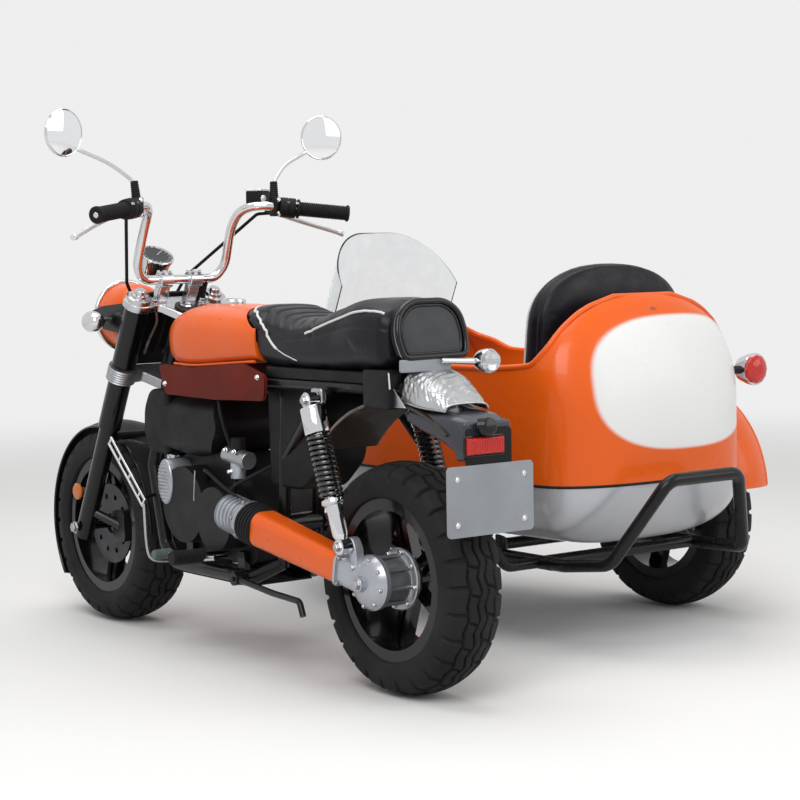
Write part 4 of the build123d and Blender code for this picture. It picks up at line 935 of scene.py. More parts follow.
def swell(piece, voxel, cap, pressure=4.0, frames=20):
    """Even out a pad's mesh, blow it up as cloth, hold each point to the cap and smooth it once."""
    remesh = piece.modifiers.new("even", "REMESH")
    remesh.mode = "VOXEL"
    remesh.voxel_size = voxel
    new_state(piece, piece)
    piece.modifiers.clear()
    start = mesh_points(piece.data)
    pad = bpy.data.objects.new(piece.name + "_pad", piece.data.copy())
    bpy.context.scene.collection.objects.link(pad)
    cloth = pad.modifiers.new("cloth", "CLOTH")
    cloth.settings.use_pressure = True
    cloth.settings.uniform_pressure_force = pressure
    cloth.settings.effector_weights.gravity = 0
    cloth.point_cache.frame_end = frames
    for frame_number in range(1, frames + 1):
        bpy.context.scene.frame_set(frame_number)
    blown = pad.evaluated_get(bpy.context.evaluated_depsgraph_get())
    move = mesh_points(blown.data) - start
    far = np.linalg.norm(move, axis=1, keepdims=True)
    move *= np.minimum(1, cap / np.maximum(far, 1e-9))
    piece.data.vertices.foreach_set("co", (start + move).ravel())
    bpy.data.objects.remove(pad)
    bpy.context.scene.frame_set(1)
    finer = piece.modifiers.new("finer", "SUBSURF")
    finer.levels = 1
    finer.render_levels = 1
    new_state(piece, piece)
    piece.modifiers.clear()
    piece.data.polygons.foreach_set("use_smooth", np.ones(len(piece.data.polygons), bool))


def press(piece, depth):
    """Sink each point along its normal by depth(points, normals)."""
    points = mesh_points(piece.data)
    normals = mesh_normals(piece.data)
    sunk = points - normals * depth(points, normals)[:, None]
    piece.data.vertices.foreach_set("co", sunk.ravel())
    piece.data.update()


def dent(distance, width):
    """A soft channel: 1 on its line and 0 a few widths away."""
    return np.exp(-(distance / width) ** 2)


def on_surface(piece, line, lift):
    """The points of a line brought to a piece's surface and lifted off it by a little."""
    tree = BVHTree.FromObject(piece, bpy.context.evaluated_depsgraph_get())
    found = [tree.find_nearest(Vector(point)) for point in line]
    return np.array([np.array(place_found) + np.array(normal) * lift for place_found, normal, index,
                     far in found])


def superellipse(turn, power):
    """Points of a unit superellipse at angles: 1 is a circle, and smaller powers are boxier."""
    return np.stack([np.sign(np.cos(turn)) * np.abs(np.cos(turn)) ** power,
                     np.sign(np.sin(turn)) * np.abs(np.sin(turn)) ** power], axis=-1)


# %% [markdown]
# The rider's seat is one long pad with a dip for the rider and a raised part for the passenger. Its half
# width, underside and top run along x through a table, and each section is a boxy superellipse.
# %% The rider's seat
# Along the seat: x, half width, underside, top
seat_table = np.array([
    (-0.068, 0.096, 0.700, 0.800), (-0.048, 0.110, 0.684, 0.815), (0.030, 0.116, 0.676, 0.821),
    (0.120, 0.116, 0.672, 0.802), (0.200, 0.116, 0.672, 0.782), (0.275, 0.115, 0.674, 0.774),
    (0.340, 0.113, 0.676, 0.783), (0.392, 0.110, 0.682, 0.795), (0.430, 0.104, 0.736, 0.801),
    (0.465, 0.090, 0.740, 0.803), (0.492, 0.066, 0.746, 0.802), (0.506, 0.036, 0.756, 0.798),
])
seat_x = seat_table[0, 0] + (seat_table[-1, 0] - seat_table[0,
                                                            0]) * (1 - np.cos(np.linspace(0, np.pi, 90))) / 2
seat_half, seat_low, seat_top = smooth_between(seat_x, seat_table[:, 0], seat_table[:, 1:]).T
ring = superellipse(np.linspace(0, 2 * np.pi, 72, endpoint=False), 0.5)
seat_points = place(seat_x[:, None], seat_half[:, None] * ring[None, :, 0],
                    (seat_low + seat_top)[:, None] / 2 + (seat_top - seat_low)[:, None] / 2 * ring[None,
                                                                                                   :, 1])
seat = add_grid("seat_cover", seat_points, "chassis", black_hide, wrap_columns=True,
                ends=True)
swell(seat, 0.006, 0.006)


def seat_seams(points, normals):
    """Six cross channels over the rider's place, a seam round the side and one behind the rider's place."""
    x, y, z = (points - ground_point).T
    upper = np.clip(normals[:, 2] * 3, 0, 1)
    bowed = x - 0.050 * (1 - (y / 0.115) ** 2)
    channels = sum(dent(bowed - at, 0.0042) for at in np.linspace(0.225, 0.405, 6))
    inner = np.clip((0.103 - np.abs(y)) / 0.012, 0, 1)
    step = dent(bowed - 0.180, 0.005) * 1.2
    side = np.clip((np.abs(normals[:, 1]) - 0.5) * 3, 0, 1)
    low, top = smooth_between(x, seat_table[:, 0], seat_table[:, 2:]).T
    band = dent(z - (low * 0.35 + top * 0.65), 0.0035) * side
    return 0.0042 * (channels * inner * upper + step * upper) + 0.0028 * band


press(seat, seat_seams)
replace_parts(seat, "seat")
# White piping: round the nose and down the side, and along the passenger's top edge
front_edge = [(0.480, 0.040, 0.806), (0.445, 0.080, 0.803), (0.400, 0.106, 0.793), (0.374, 0.118, 0.770),
              (0.336, 0.124, 0.724), (0.280, 0.124, 0.699), (0.246, 0.124, 0.681)]
rear_edge = [(0.205, 0.112, 0.752), (0.135, 0.114, 0.776), (0.045, 0.112, 0.800), (-0.020, 0.108, 0.811),
             (-0.062, 0.100, 0.806)]
for side, label in ((1, "left"), (-1, "right")):
    for edge, part in ((front_edge, "front"), (rear_edge, "rear")):
        line = place(*(np.array(edge) * (1, side, 1)).T)
        line = on_surface(seat, resample(rounded(line, 0.05, 8), 60), 0.0012)
        thin = np.where(line[:, 2] < 0.716, 0.0012, 0.0029) if part == "front" else 0.0027
        add_pipe("seat_piping_" + part + "_" + label, line, thin, "chassis", piping_white, 8)
print("seat faces", len(seat.data.polygons))

# %% [markdown]
# The sidecar's backrest is an arched pad that leans back a little. Its rows run up the pad: the half
# width follows the arch, and the thickness thins towards the top edge. A seam round it marks where its
# front cushion meets the shell behind, and white piping follows the front edge.
# %% The sidecar's backrest and cushion
back_lean = math.radians(6)
back_foot = np.array([0.184, 0.0, 0.4443])
back_height = 0.440
back_half = 0.229
back_thick = 0.092
back_rise = np.array([-math.sin(back_lean), 0, math.cos(back_lean)])
back_ahead = np.array([math.cos(back_lean), 0, math.sin(back_lean)])


def back_width(height):
    """Half the backrest's width at a height: straight, then a full round arch."""
    share = np.clip((height - 0.295) / (back_height - 0.295), 0, 1)
    return back_half * (1 - share ** 2.4) ** (1 / 2.4)


heights = back_height * np.sin(np.linspace(0, np.pi / 2, 80))
ring = superellipse(np.linspace(0, 2 * np.pi, 72, endpoint=False), 0.42)
thick = back_thick / 2 * (1 - 0.55 * (heights / back_height) ** 5)
middle = back_foot + heights[:, None] * back_rise + back_ahead * (back_thick / 2 + 0.002)
across = np.maximum(back_width(heights), 0.02)
back_points = (middle[:, None] + back_ahead * (thick[:, None] * ring[None, :, 1])[..., None]
               + np.array([0, 1, 0]) * (across[:, None] * ring[None, :, 0])[..., None])
back_points = back_points + ground_point + (0, tub_y, 0)
backrest = add_grid("backrest_cover", back_points, "chassis", black_hide,
                    wrap_columns=True, ends=True)
swell(backrest, 0.006, 0.006)


def back_seams(points, normals):
    """A seam round the edge between the front cushion and the shell, and two soft channels in the front."""
    local = points - ground_point - (0, tub_y, 0) - back_foot
    ahead = local @ back_ahead
    rise = local @ back_rise
    facing = normals @ back_ahead
    rim = np.clip((0.75 - np.abs(facing)) * 4, 0, 1)
    channels = sum(dent(local[:, 1] - at, 0.005) for at in (-0.075, 0.075)) * np.clip(facing * 3, 0, 1)
    return 0.004 * dent(ahead - 0.040, 0.005) * rim + 0.004 * channels * np.clip((0.40 - rise) / 0.03, 0, 1)


press(backrest, back_seams)
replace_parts(backrest, "sidecar_backrest")
arch = np.concatenate([np.stack([-back_width(heights), heights], -1),
                       np.stack([back_width(heights), heights], -1)[::-1]])
piping = (back_foot + arch[:, 1:] * back_rise + back_ahead * (back_thick + 0.001) + arch[:,
                                                                                         :1] * np.array([0, 1, 0]))
piping = on_surface(backrest, resample(piping + ground_point + (0, tub_y, 0), 160), 0.0014)
add_pipe("backrest_piping", piping, 0.0030, "chassis", piping_white, 8)

cushion_x = 0.184 + (0.728 - 0.184) * (1 - np.cos(np.linspace(0, np.pi, 60))) / 2
ring = superellipse(np.linspace(0, 2 * np.pi, 72, endpoint=False), 0.34)
end_share = np.clip(np.minimum(cushion_x - 0.184, 0.728 - cushion_x) / 0.03, 0, 1) ** 0.4
cushion_points = place(cushion_x[:, None], tub_y + 0.216 * end_share[:, None] * ring[None, :, 0],
                       0.345 + 0.088 * end_share[:, None] * ring[None, :, 1])
cushion = add_grid("cushion_cover", cushion_points, "chassis", black_hide,
                   wrap_columns=True, ends=True)
swell(cushion, 0.009, 0.006)
press(cushion, lambda points, normals: 0.004 * np.clip(normals[:, 2] * 3, 0, 1) * sum(
    dent((points - ground_point)[:, 1] - tub_y - at, 0.006) for at in (-0.075, 0.075)))
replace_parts(cushion, "sidecar_cushion")
print("backrest", len(backrest.data.polygons), "cushion", len(cushion.data.polygons))

# %% [markdown]
# ## The windscreen
# The screen is one sheet of clear plastic, bent round the cowl and raked back, with an arched top. Its
# plan is half a circle. Each column starts where it meets the cowl, which the tub's own formula gives,
# and ends at the arch, so the lower edge follows the cowl exactly. A black strip seals that edge.
# %% The clear screen
screen_centre_x = 1.0285
screen_radius = 0.192
screen_foot_z = 0.730
screen_top_z = 0.967
screen_arch_radius = 0.150
screen_rake = -0.42 / 0.907


def cowl_height(x, y):
    """The height of the tub's outer skin above its shoulder at a place in plan."""
    half, low, shoulder, top = tub_sizes(x.ravel())
    share = np.clip(np.abs(y.ravel()) / np.maximum(half, 1e-6), 0, 1)
    return (shoulder + (top - shoulder) * (1 - share ** (2 / 0.92)) ** 0.46).reshape(x.shape)


bend = np.radians(np.linspace(-86, 86, 90))
across = screen_radius * np.sin(bend)
plan_x = screen_centre_x + screen_radius * np.cos(bend)
climb = np.linspace(-0.09, 0.25, 500)[:, None]
line_x = plan_x[None] + screen_rake * climb
line_z = screen_foot_z + climb + 0 * line_x
above = line_z > cowl_height(line_x, np.broadcast_to(across, line_x.shape)) + 0.001
foot_climb = climb[above.argmax(axis=0), 0]
corner = np.clip(np.abs(across) - (screen_radius - screen_arch_radius), 0, screen_arch_radius)
arch_z = screen_top_z - screen_arch_radius + np.sqrt(screen_arch_radius ** 2 - corner ** 2)
top_climb = np.maximum(arch_z - screen_foot_z, foot_climb + 0.004)
share = np.linspace(0, 1, 40)[:, None]
climb = foot_climb + (top_climb - foot_climb) * share
screen_points = place(plan_x + screen_rake * climb, tub_y + across + 0 * climb, screen_foot_z + climb)
screen = add_grid("clear_screen", screen_points, "chassis", screen_clear)
wall = screen.modifiers.new("wall", "SOLIDIFY")
wall.thickness = 0.003
wall.offset = 0
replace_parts(screen, "windscreen")
add_pipe("screen_seal", screen_points[0] + (0, 0, 0.002), 0.005, "chassis", soft_rubber, 8)
fixing = screen_points[5, [8, 30, 59, 81]]
outward = fixing - fixing.mean(axis=0)
for index, (spot, out) in enumerate(zip(fixing, outward)):
    add_turned("screen_fixing_" + str(index), [(-0.006, 0.011), (0.004, 0.011), (0.008, 0.008),
                                               (0.010, 0.0)], spot,
               (out[0], out[1], 0), "chassis", chrome, 20)
print("screen columns", len(bend))

# %% [markdown]
# The sidecar's mudguard keeps its CAD form. A pressed guard has its edges rolled round a wire, so a bead
# runs along both edges and across the ends.
# %% Rolled edges of the sidecar's mudguard, and its lamp
arch_centre = sidecar_axle + (0, 0, 0.061)
arch_edge = tyre_radius + 0.036 - 0.020 - 0.0025
arch_half = 0.080
sweep = np.radians(np.linspace(176, 176 - 142, 70))
for side, label in ((1, "inner"), (-1, "outer")):
    edge_line = arch_centre + np.stack([arch_edge * np.cos(sweep), 0 * sweep + side * arch_half,
                                        arch_edge * np.sin(sweep)], -1)
    add_pipe("mudguard_bead_" + label, edge_line, 0.0048, "chassis", orange_paint, 10)
for end, label in ((sweep[0], "rear"), (sweep[-1], "front")):
    span = np.linspace(-1, 1, 24)
    radius = tyre_radius + 0.036 - 0.0025 - 0.020 * span ** 2
    end_line = arch_centre + np.stack([radius * np.cos(end), span * arch_half, radius * np.sin(end)], -1)
    add_pipe("mudguard_end_" + label, end_line, 0.0042, "chassis", orange_paint, 10)

lamp_spot = place(0.046, -1.085, 0.622)
lamp_stalk = add_pipe("sidecar_lamp_stalk", place(np.array([0.060, 0.060]), np.array([-1.076, -1.022]),
                                                  np.array([0.622, 0.622])),
                      0.010, "chassis", black_plastic, 16)
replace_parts(lamp_stalk, "sidecar_lamp")
lamp_cup = add_turned("sidecar_lamp_cup", [(-0.036, 0.0), (-0.036, 0.030), (-0.010, 0.038),
                                           (0.000, 0.039), (0.004, 0.0385),
                                           (0.004, 0.034)], lamp_spot, (-1, 0, 0), "chassis", chrome,
                                           40)
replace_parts(lamp_cup, "sidecar_lamp")
lamp_lens = add_turned("sidecar_lamp_lens", [(0.0015, 0.0355), (0.010, 0.034), (0.016, 0.026),
                                             (0.0205, 0.013), (0.022, 0.0)],
                       lamp_spot, (-1, 0, 0), "chassis", red_lens, 12, smooth=8)
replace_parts(lamp_lens, "sidecar_lamp")
print("mudguard and lamp done")

# %% [markdown]
# ## The fuel tank
# The tank is an egg cut flat below, whose rear is hollowed so that the seat's round nose sits in it. A
# block with rounded edges cannot show that, so the skin is a table of sections again. Each half section
# runs along the seat's bed, up its wall, over the crown, down the flank and back to the backbone's
# groove. At the nose a dome factor draws all of it together, as it does on the tub.
# %% The tank's skin
# Along the tank: x, underside, top
tank_table = np.array([
    (0.402, 0.684, 0.794), (0.440, 0.682, 0.798), (0.520, 0.676, 0.803), (0.600, 0.669, 0.806),
    (0.690, 0.664, 0.806), (0.760, 0.665, 0.800), (0.841, 0.672, 0.790),
])
tank_half = 0.1145
tank_nose_x = 0.8405
tank_round_x = 0.690
tank_nose_z = 0.722
nose_radius = 0.107
bed_z = 0.728
groove_half = 0.0250
groove_table = np.array([(0.400, 0.642), (0.700, 0.692), (0.850, 0.748)])


def tank_section(x):
    """Half sections of the tank at each x: bed, wall, crown, flank, underside and groove, from y = 0 to y = 0."""
    low, top = smooth_between(x, tank_table[:, 0], tank_table[:, 1:]).T
    ahead = np.clip((x - tank_round_x) / (tank_nose_x - tank_round_x), 0, 1)
    wide = (1 - ahead ** 2.3) ** (1 / 2.3)
    tall = (1 - ahead ** 2.6) ** (1 / 2.6)
    half = tank_half * wide * (1 - 0.05 * np.clip((0.5 - x) / 0.1, 0, 1) ** 2)
    low = tank_nose_z + (low - tank_nose_z) * tall
    top = tank_nose_z + (top - tank_nose_z) * tall
    behind = np.clip((x - 0.402) / nose_radius, 0, 1)
    inner = np.minimum(nose_radius * np.sqrt(1 - behind ** 2), half * 0.965)
    half, low, top, inner = (value[:, None] for value in (half, low, top, inner))
    shoulder = low + (top - low) * 0.46
    start = np.arccos(np.clip(inner / np.maximum(half, 1e-6), 0, 1) ** (1 / 0.78))
    turn = start * (1 - np.linspace(0, 1, 26)[None])
    crown_y = half * np.cos(turn) ** 0.78
    crown_z = shoulder + (top - shoulder) * np.sin(turn) ** 0.78
    bed_y = inner * np.array([0, 0.34, 0.67, 1, 1])[None]
    bed = np.where(inner > 1e-4, np.minimum(bed_z, crown_z[:, :1]), crown_z[:, :1])
    bed_height = np.concatenate([np.repeat(bed, 4, axis=1), (bed + crown_z[:, :1]) / 2], axis=1)
    down = np.linspace(0, np.pi / 2, 16)[None, 1:]
    flank_y = half * (1 - 0.16 * (1 - np.cos(down)) - 0.10 * np.sin(down) ** 8)
    flank_z = shoulder - (shoulder - low) * np.sin(down)
    ceiling = np.minimum(np.interp(x, groove_table[:, 0], groove_table[:, 1])[:, None], top - 0.006)
    ceiling = np.maximum(ceiling, low)
    side = np.minimum(groove_half, half * 0.6)
    groove_y = side * np.array([1, 1, 0])[None]
    groove_z = np.concatenate([low, ceiling, ceiling], axis=1)
    return (np.concatenate([bed_y, crown_y, flank_y, groove_y], axis=1),
            np.concatenate([bed_height, crown_z, flank_z, groove_z], axis=1))


tank_x = np.concatenate([0.402 + 0.107 * np.sin(np.linspace(0, np.pi / 2, 34)),
                         np.linspace(0.509, 0.690, 22)[1:],
                         0.690 + 0.1505 * np.sin(np.linspace(0, np.pi / 2, 40))[1:]])
half_y, half_z = tank_section(tank_x)
end_z = half_z[[0, -1]].mean(axis=1)
tank_grids = []
for side in (1, -1):
    grid = place(tank_x[:, None], side * half_y, half_z)
    first = np.repeat(place([tank_x[0]], 0.0, end_z[0])[None], grid.shape[1], axis=1)
    last = np.repeat(place([tank_x[-1]], 0.0, end_z[1])[None], grid.shape[1], axis=1)
    tank_grids.append(np.concatenate([first, grid, last]))
rows, columns = tank_grids[0].shape[:2]
tank_faces = grid_faces(rows, columns)
tank = add_mesh("fuel_tank_skin", np.concatenate([grid.reshape(-1, 3) for grid in tank_grids]),
                np.concatenate([tank_faces, tank_faces + rows * columns]), "chassis", orange_paint,
                smooth=42)
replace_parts(tank, "fuel_tank")
print("tank faces", len(tank.data.polygons))

# %% [markdown]
# Below the tank hang two covers, pressed plates with a rolled edge that follow the tank's lower line. Their dark red
# is painted shade: the orange darkened for the shade under the tank. Two screws hold each. The same plate function
# makes
# them: an outline in two directions, raised with rounded edges. The tank's own lower edge is a welded flange, so a
# thin bead runs along it.
# %% Side covers, screws and the tank's flange
panel_corners = [(0.360, 0.604), (0.560, 0.598), (0.770, 0.600), (0.797, 0.664), (0.660, 0.660),
                 (0.446, 0.678),
                 (0.354, 0.655)]
for side, label in ((1, "left"), (-1, "right")):
    outline = closed_outline(np.array(panel_corners) * (side, 1), 0.012)
    # the covers' dark red is painted shade under the tank
    cover = add_plate("side_cover_" + label, outline, place(0, side * 0.1105, 0), (side, 0, 0), (0, 0, 1),
                      -0.0075,
                      -0.003, "chassis", deep_orange)
    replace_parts(cover, "side_panels")
    screws = place([0.380, 0.772], side * 0.1175, [0.652, 0.622])
    add_bolts("side_cover_screws_" + label, screws, (0, side, 0), 0.005, 0.005, "chassis", chrome)
    low_line = np.array([(x, side * 0.107, z) for x,
                         z in ((0.405, 0.685), (0.52, 0.677), (0.66, 0.667), (0.745, 0.669))])
    flange = place(*resample(rounded(low_line, 0.03, 6), 40).T)
    add_pipe("tank_flange_" + label, flange, 0.0034, "chassis", orange_paint, 8)
cap_spot = place(0.655, 0, 0.8045)
add_turned("tank_cap", [(0.0, 0.030), (0.006, 0.031), (0.011, 0.029), (0.0135, 0.020), (0.014, 0.0)],
           cap_spot, (0, 0, 1),
           "chassis", chrome)
print("side covers done")

# %% [markdown]
# ## The tail
# The pad behind the seat is a moulded bezel in the shape of a D with a plain dark panel in it, and a grey
# strip below. Under it the tail is wrapped in crinkled silver film over a blue-black moulding. The film
# is one arched surface, thrown into creases by a few crossed waves whose peaks are sharpened, which reads
# as creased foil where plain noise would look like stone.
# %% The pad behind the seat
pad_lean = np.array([0.209, 0, 0.978])
pad_spot = place(-0.098, 0, 0.700)
pad_corners = np.array([(-0.080, 0.006), (0.086, 0.004), (0.098, 0.052), (0.086, 0.098), (0.050, 0.124),
                        (-0.042, 0.124),
                        (-0.076, 0.100), (-0.086, 0.052)])
pad_radius = (0.014, 0.014, 0.04, 0.03, 0.03, 0.03, 0.03, 0.04)
pad_line = closed_outline(pad_corners, pad_radius, 160)
pad = add_plate("tail_bezel", pad_line * (-1, 1), pad_spot + (0.016, 0, 0), (0, -1, 0), pad_lean, 0.020,
                0.008, "chassis",
                black_plastic)
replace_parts(pad, "tail_pad")
pad_middle = pad_line.mean(axis=0)


def on_pad(share, out):
    """The bezel's outline drawn in by a share and set behind the pad, as places in the model's frame."""
    flat = pad_middle + (pad_line - pad_middle) * share
    return pad_spot + flat[:, :1] * np.array([0, 1, 0]) + flat[:,
                                                               1:] * pad_lean + np.array([-out, 0, 0.2 * out])


for label, share, out, radius, material, slot in (("rim", 0.955, 0.008, 0.0068, gloss_black, "gloss_black"),
                                                  ("line", 1.0, 0.004, 0.0018, bright_steel, "steel"),
                                                  ("step", 0.83, 0.006, 0.0036, gloss_black, "gloss_black")):
    add_grid("tail_bezel_" + label, ring_along(on_pad(share, out), radius, 10), "chassis", material,
             wrap_rows=True,
             wrap_columns=True)
inset = pad_middle + (pad_line - pad_middle) * 0.80
add_plate("tail_panel", inset * (-1, 1), pad_spot + (-0.004, 0, 0), (0, -1, 0), pad_lean, 0.004, 0.002,
          "chassis",
          plate_shade)
add_plate("tail_strip", box_outline(0.128, 0.026, 0.004), place(-0.100, 0.030, 0.692), (0, -1, 0),
          (0, 0, 1), 0.008, 0.002,
          "chassis", plate_grey)
print("tail pad done")

# %% The creased cover, its edge and the blue-black moulding
cover_x = np.linspace(-0.083, -0.198, 90)
cover_s = np.linspace(-1, 1, 140)
cover_top = smooth_between(cover_x, [-0.198, -0.170, -0.130, -0.083], [0.618, 0.646, 0.674, 0.688])
cover_half = smooth_between(cover_x, [-0.198, -0.170, -0.130, -0.083], [0.054, 0.062, 0.070, 0.074])
cover_low = smooth_between(cover_x, [-0.198, -0.140, -0.083], [0.604, 0.609, 0.620])
turn = cover_s[None] * np.pi / 2
cover_y = cover_half[:, None] * np.sign(turn) * np.abs(np.sin(turn)) ** 0.62
cover_z = cover_low[:, None] + (cover_top - cover_low)[:, None] * np.cos(turn) ** 0.62
along = cover_x[:, None] / 0.139
creases = (np.abs(np.sin(31 * along + 5.2 * cover_s + 1.7 * np.sin(6 * cover_s)))
           + np.abs(np.sin(17 * along - 9.1 * cover_s + 2.1 * np.sin(9 * along)))
           + 0.6 * np.abs(np.sin(44 * along + 13 * cover_s)))
crease_depth = 0.0032 * (1 - creases / 2.6) * np.clip((1 - np.abs(cover_s)) / 0.12, 0, 1)
cover_points = place(cover_x[:, None] + 0 * cover_y, cover_y, cover_z)
cover_normal = np.stack([0 * cover_y - 0.3, np.sin(turn) + 0 * cover_y, np.cos(turn) + 0 * cover_y], axis=-1)
film = add_grid("tail_film", cover_points - cover_normal * crease_depth[..., None], "chassis",
                silver_film,
                smooth=24)
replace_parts(film, "tail_cover")
film_wall = film.modifiers.new("wall", "SOLIDIFY")
film_wall.thickness = 0.0012
edge_ends = np.concatenate([cover_points[:, 0], cover_points[-1, 1:-1], cover_points[::-1, -1]])
add_pipe("tail_film_edge", resample(edge_ends, 120), 0.0024, "chassis", bright_steel, 8)

hood_x = np.linspace(-0.100, -0.262, 40)
hood_s = np.linspace(-1, 1, 60)
hood_half = smooth_between(hood_x, [-0.262, -0.225, -0.100], [0.060, 0.070, 0.075])
hood_top = smooth_between(hood_x, [-0.262, -0.222, -0.150, -0.100], [0.585, 0.599, 0.604, 0.612])
hood_drop = smooth_between(hood_x, [-0.262, -0.200, -0.100], [0.074, 0.052, 0.030])
hood_z = hood_top[:, None] - hood_drop[:, None] * (np.abs(hood_s)[None] ** 5)
hood_y = hood_half[:, None] * np.sin(hood_s * np.pi / 2)[None]
hood = add_grid("tail_hood", place(hood_x[:, None] + 0 * hood_y, hood_y, hood_z), "chassis", blue_black)
hood_wall = hood.modifiers.new("wall", "SOLIDIFY")
hood_wall.thickness = 0.003
block = add_plate("tail_block", box_outline(0.120, 0.078, 0.010), place(-0.2325, 0, 0.5475), (0, -1, 0),
                  (0, 0, 1), 0.0295, 0.005,
                  "chassis", blue_black)
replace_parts(block, "tail_bracket")
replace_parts(hood, "tail_bracket")
add_plate("plate_carrier", box_outline(0.116, 0.168, 0.012), place(-0.2618, 0, 0.4895), (0, -1, 0),
          (0, 0, 1), 0.0050, 0.0015,
          "chassis", black_plastic)
print("tail cover", len(film.data.polygons), "faces")

# %% [markdown]
# The tail lamp is a ribbed red lens in a dark frame. Its ribs are part of its height field. Above it sits
# a ribbed rubber knob, turned from a profile that a sine wave gives its ribs.
# %% Tail lamp, knob, plate screws and the small parts under the seat
lens_y, lens_z = np.meshgrid(np.linspace(-0.0465, 0.0465, 94), np.linspace(-0.0170, 0.0170, 42),
                             indexing="ij")
lens_edge = np.clip(np.minimum(0.0465 - np.abs(lens_y), 0.0170 - np.abs(lens_z)) / 0.004, 0, 1)
lens_out = 0.004 + 0.009 * np.sqrt(1 - (1 - lens_edge) ** 2) + 0.0008 * np.sin(lens_y * 2 * np.pi / 0.0062) * lens_edge
lens = add_grid("tail_lamp_lens", place(-0.2622 - lens_out, 0.012 + lens_y, 0.5385 + lens_z), "chassis",
                red_lens)
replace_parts(lens, "tail_lamp")
frame_line = box_outline(0.097, 0.038, 0.006, 100)
add_grid("tail_lamp_frame", ring_along(place(-0.2645, 0.012 + frame_line[:, 0],
                                             0.5385 + frame_line[:, 1]), 0.0030, 8),
         "chassis", gloss_black, wrap_rows=True, wrap_columns=True)
knob_at = np.linspace(0, 0.034, 72)
knob_radius = 0.0168 + 0.0012 * np.sin(knob_at * 2 * np.pi / 0.0052) - 0.004 * np.clip((knob_at - 0.030) / 0.004, 0, 1) ** 2
knob = np.stack([knob_at, knob_radius], axis=-1)
add_turned("tail_knob", knob, place(-0.2515, 0.010, 0.5735), (-1, 0, 0.12), "chassis", gloss_black,
           40)
plate_spots = place(-0.270, np.array([0.085, 0.085, -0.085, -0.085]), np.array([0.387, 0.477, 0.387, 0.477]))
add_bolts("plate_screws", plate_spots, (-1, 0, 0), 0.0050, 0.0035, "chassis", chrome)
add_plate("battery_box", box_outline(0.088, 0.080, 0.008), place(-0.029, 0.066, 0.643), (-1, 0, 0),
          (0, 0, 1), 0.036, 0.005,
          "chassis", crackle_black)
add_plate("battery_strap", box_outline(0.004, 0.034, 0.0018, 40), place(-0.079, 0.102, 0.662), (-1, 0, 0),
          (0.1, 0, 0.995), 0.002,
          0.0008, "chassis", piping_white)
triangle = closed_outline([(-0.022, -0.018), (0.030, -0.018), (-0.012, 0.024)], 0.003, 60)
add_plate("tail_gusset", triangle, place(-0.080, 0.084, 0.626), (-1, 0, 0), (0, 0, 1), 0.004, 0.001,
          "chassis", bright_steel)
print("lamp and small parts done")

# %% [markdown]
# The rear mudguard keeps its CAD sheet. Light catches the rolled bead along its edges, so the rear beads are a light
# brown, a painted highlight far lighter than the sheet.
# A bead also stiffens the front guard, so both get one. The line is the circle through three points of the sheet.
# %% Beads of the two mudguards
def circle_through(first, second, third, count):
    """Points of the circle through three places of a plane, from the first to the third."""
    a, b, c = (np.asarray(p, float) for p in (first, second, third))
    matrix = 2 * np.array([b - a, c - a])
    centre = np.linalg.solve(matrix, np.array([b @ b - a @ a, c @ c - a @ a]))
    angles = np.unwrap([math.atan2(*(p - centre)[::-1]) for p in (a, b, c)])
    sweep = np.linspace(angles[0], angles[2], count)
    return centre + np.linalg.norm(a - centre) * np.stack([np.cos(sweep), np.sin(sweep)], axis=-1)


# painted highlight: the rear beads are light brown where light catches the rolled edge
rear_line = circle_through((0.212, 0.502), (0, 0.6125), (-0.222, 0.559), 60)
rear_line = rear_line[rear_line[:, 0] > -0.060]
for side, label in ((1, "left"), (-1, "right")):
    add_pipe("rear_mudguard_bead_" + label, place(rear_line[:, 0], side * 0.0765, rear_line[:, 1]),
             0.0034, "chassis",
             bead_brown, 8)
guard_turn = np.radians(np.linspace(180, -36, 90))
for side, label in ((1, "left"), (-1, "right")):
    edge = tyre_radius + 0.018 - 0.012 - 0.002
    line = front_axle + np.stack([edge * np.cos(guard_turn), 0 * guard_turn + side * 0.0600,
                                  edge * np.sin(guard_turn)], -1)
    add_pipe("front_mudguard_bead_" + label, line, 0.0032, "steering", gloss_black, 8)
print("mudguard beads done")

# %% [markdown]
# ## The drive side
# A shaft runs inside the orange tunnel to a bevel drive in the wheel's hub. Seen from behind it is two
# castings, a ring at the wheel and a dome outside it, with studs between them, a square neck where the
# tunnel ends, and a lug for the shock. Rods, turned castings and a lofted neck show all of these.
# %% The final drive
def add_rod(name, start, end, radius, body, material, around=24, edge=0.001):
    """A round rod from one place to another, its ends chamfered."""
    start, end = np.asarray(start, float), np.asarray(end, float)
    far = np.linalg.norm(end - start)
    profile = [(0, 0), (0, radius - edge), (edge, radius), (far - edge, radius), (far, radius - edge),
               (far, 0)]
    return add_turned(name, profile, start, end - start, body, material, around)


def add_box(name, spot, size, body, material, radius=0.004, across=(1, 0, 0), rise=(0, 0, 1)):
    """A block centred on a spot: wide, high and deep, with rounded corners and edges."""
    wide, high, deep = size
    out = np.cross(across, rise)
    return add_plate(name, box_outline(wide, high, radius, 60), np.asarray(spot) - out * deep / 2, across,
                     rise, deep,
                     min(radius, deep / 3, 0.004), body, material)


